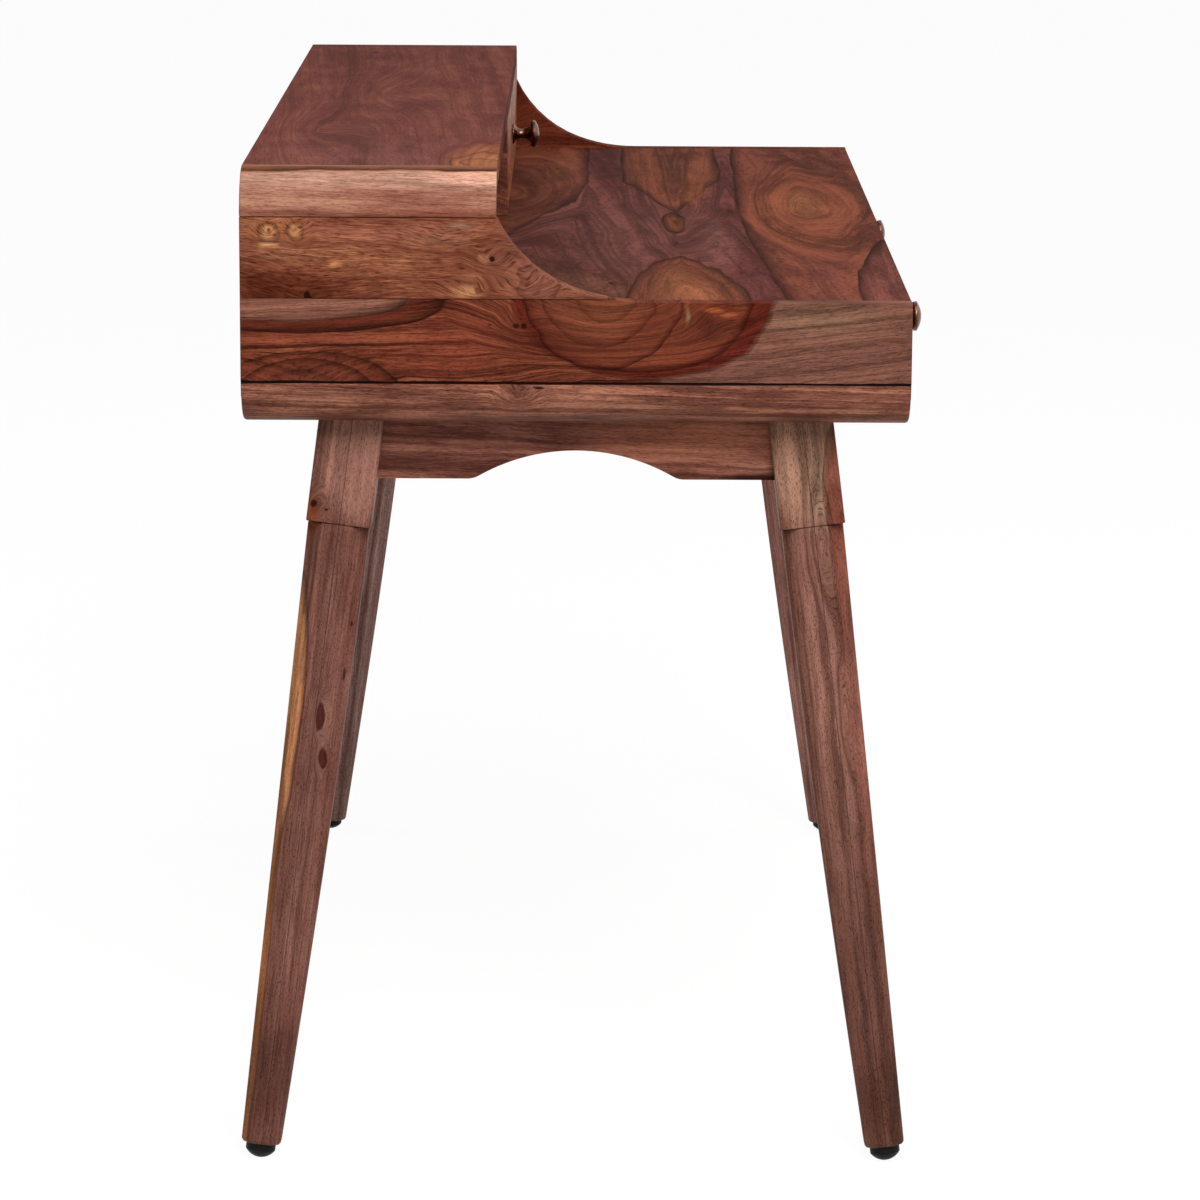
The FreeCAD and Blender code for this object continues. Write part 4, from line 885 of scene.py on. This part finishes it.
paper, tree, _ = new_material("white_studio_floor")
tree.nodes.clear()
seen = add(tree, "Math", {0: white_rays(tree), 1: WHITE_SHARE}, operation="MULTIPLY")
chalk = add(tree, "TexNoise", {"Vector": add(tree, "TexCoord", out="Object"), "Scale": 3})
chalk = add(tree, "ValToRGB", {0: chalk}, "Color", stops=[(0.3, "#DAD9D7"), (0.7, "#DEDDDB")])
matte = add(tree, "BsdfDiffuse", {"Color": chalk})
lit = add(tree, "Emission", {"Color": (1, 1, 1, 1), "Strength": WHITE})
output = tree.nodes.new("ShaderNodeOutputMaterial")
tree.links.new(add(tree, "MixShader", {0: seen, 1: matte, 2: lit}), output.inputs["Surface"])
mesh = bmesh.new()
bmesh.ops.create_grid(mesh, x_segments=2, y_segments=2, size=FLOOR_HALF)
data = bpy.data.meshes.new("studio_floor")
mesh.to_mesh(data)
mesh.free()
floor = bpy.data.objects.new("studio_floor", data)
data.materials.append(paper)
bpy.context.scene.collection.objects.link(floor)


# ----------------------------------------
# Studio light: an even dim surround, white where it is seen or mirrored, one large soft box
# in front of the left end, one overhead, and two weak ones that fill the other sides.
SURROUND = 0.31
world = bpy.data.worlds.new("studio")
bpy.context.scene.world = world
world.use_nodes = True
tree = world.node_tree
tree.nodes.clear()
even = add(tree, "Background", {"Color": (1, 1, 1, 1), "Strength": SURROUND})
white = add(tree, "Background", {"Color": (1, 1, 1, 1), "Strength": 1.0})
output = tree.nodes.new("ShaderNodeOutputWorld")
tree.links.new(add(tree, "MixShader", {0: white_rays(tree), 1: even, 2: white}),
               output.inputs["Surface"])
# Name, place, side in metres and watts of each soft box. All point at the middle of the desk.
SOFTBOXES = (("key", (-2.8, -0.7, 2.9), 1.7, 98), ("overhead", (-0.9, -0.3, 3.0), 1.5, 22),
             ("front_fill", (1.4, -3.2, 2.2), 2.0, 22), ("back_fill", (1.4, 3.2, 2.2), 2.0, 22))
DESK_MIDDLE = Vector((0, 0, 0.6))
for name, place, size, power in SOFTBOXES:
    lamp = bpy.data.lights.new(name, "AREA")
    lamp.size = size
    lamp.energy = power
    holder = bpy.data.objects.new(name, lamp)
    holder.location = place
    holder.rotation_mode = "QUATERNION"
    holder.rotation_quaternion = (DESK_MIDDLE - holder.location).to_track_quat("-Z", "Y")
    bpy.context.scene.collection.objects.link(holder)


# ----------------------------------------
# Camera: a long lens a little above the hutch, about four metres from the left end, looking
# along the desk and slightly down, as the photograph was taken. Angles are in radians, places
# in metres from the left end, the middle line and the floor.
FOCAL_PIXELS, FRAME_PIXELS = 4837.8, 1200
PITCH, ROLL, YAW = 0.2098, 0.0054, 0.0023
DISTANCE, ASIDE, HEIGHT = 4.1997, 0.0124, 1.4129
lens = bpy.data.cameras.new("camera")
lens.sensor_width = 36
lens.lens = FOCAL_PIXELS / FRAME_PIXELS * lens.sensor_width
lens.clip_end = 200
camera = bpy.data.objects.new("camera", lens)
camera.matrix_world = (Matrix.Translation((-end_x - DISTANCE, middle_y - ASIDE, HEIGHT))
                       @ Matrix.Rotation(-math.pi / 2 - YAW, 4, "Z")
                       @ Matrix.Rotation(math.pi / 2 - PITCH, 4, "X")
                       @ Matrix.Rotation(ROLL, 4, "Z"))
bpy.context.scene.collection.objects.link(camera)
bpy.context.scene.camera = camera
bpy.context.scene.view_settings.view_transform = "Standard"
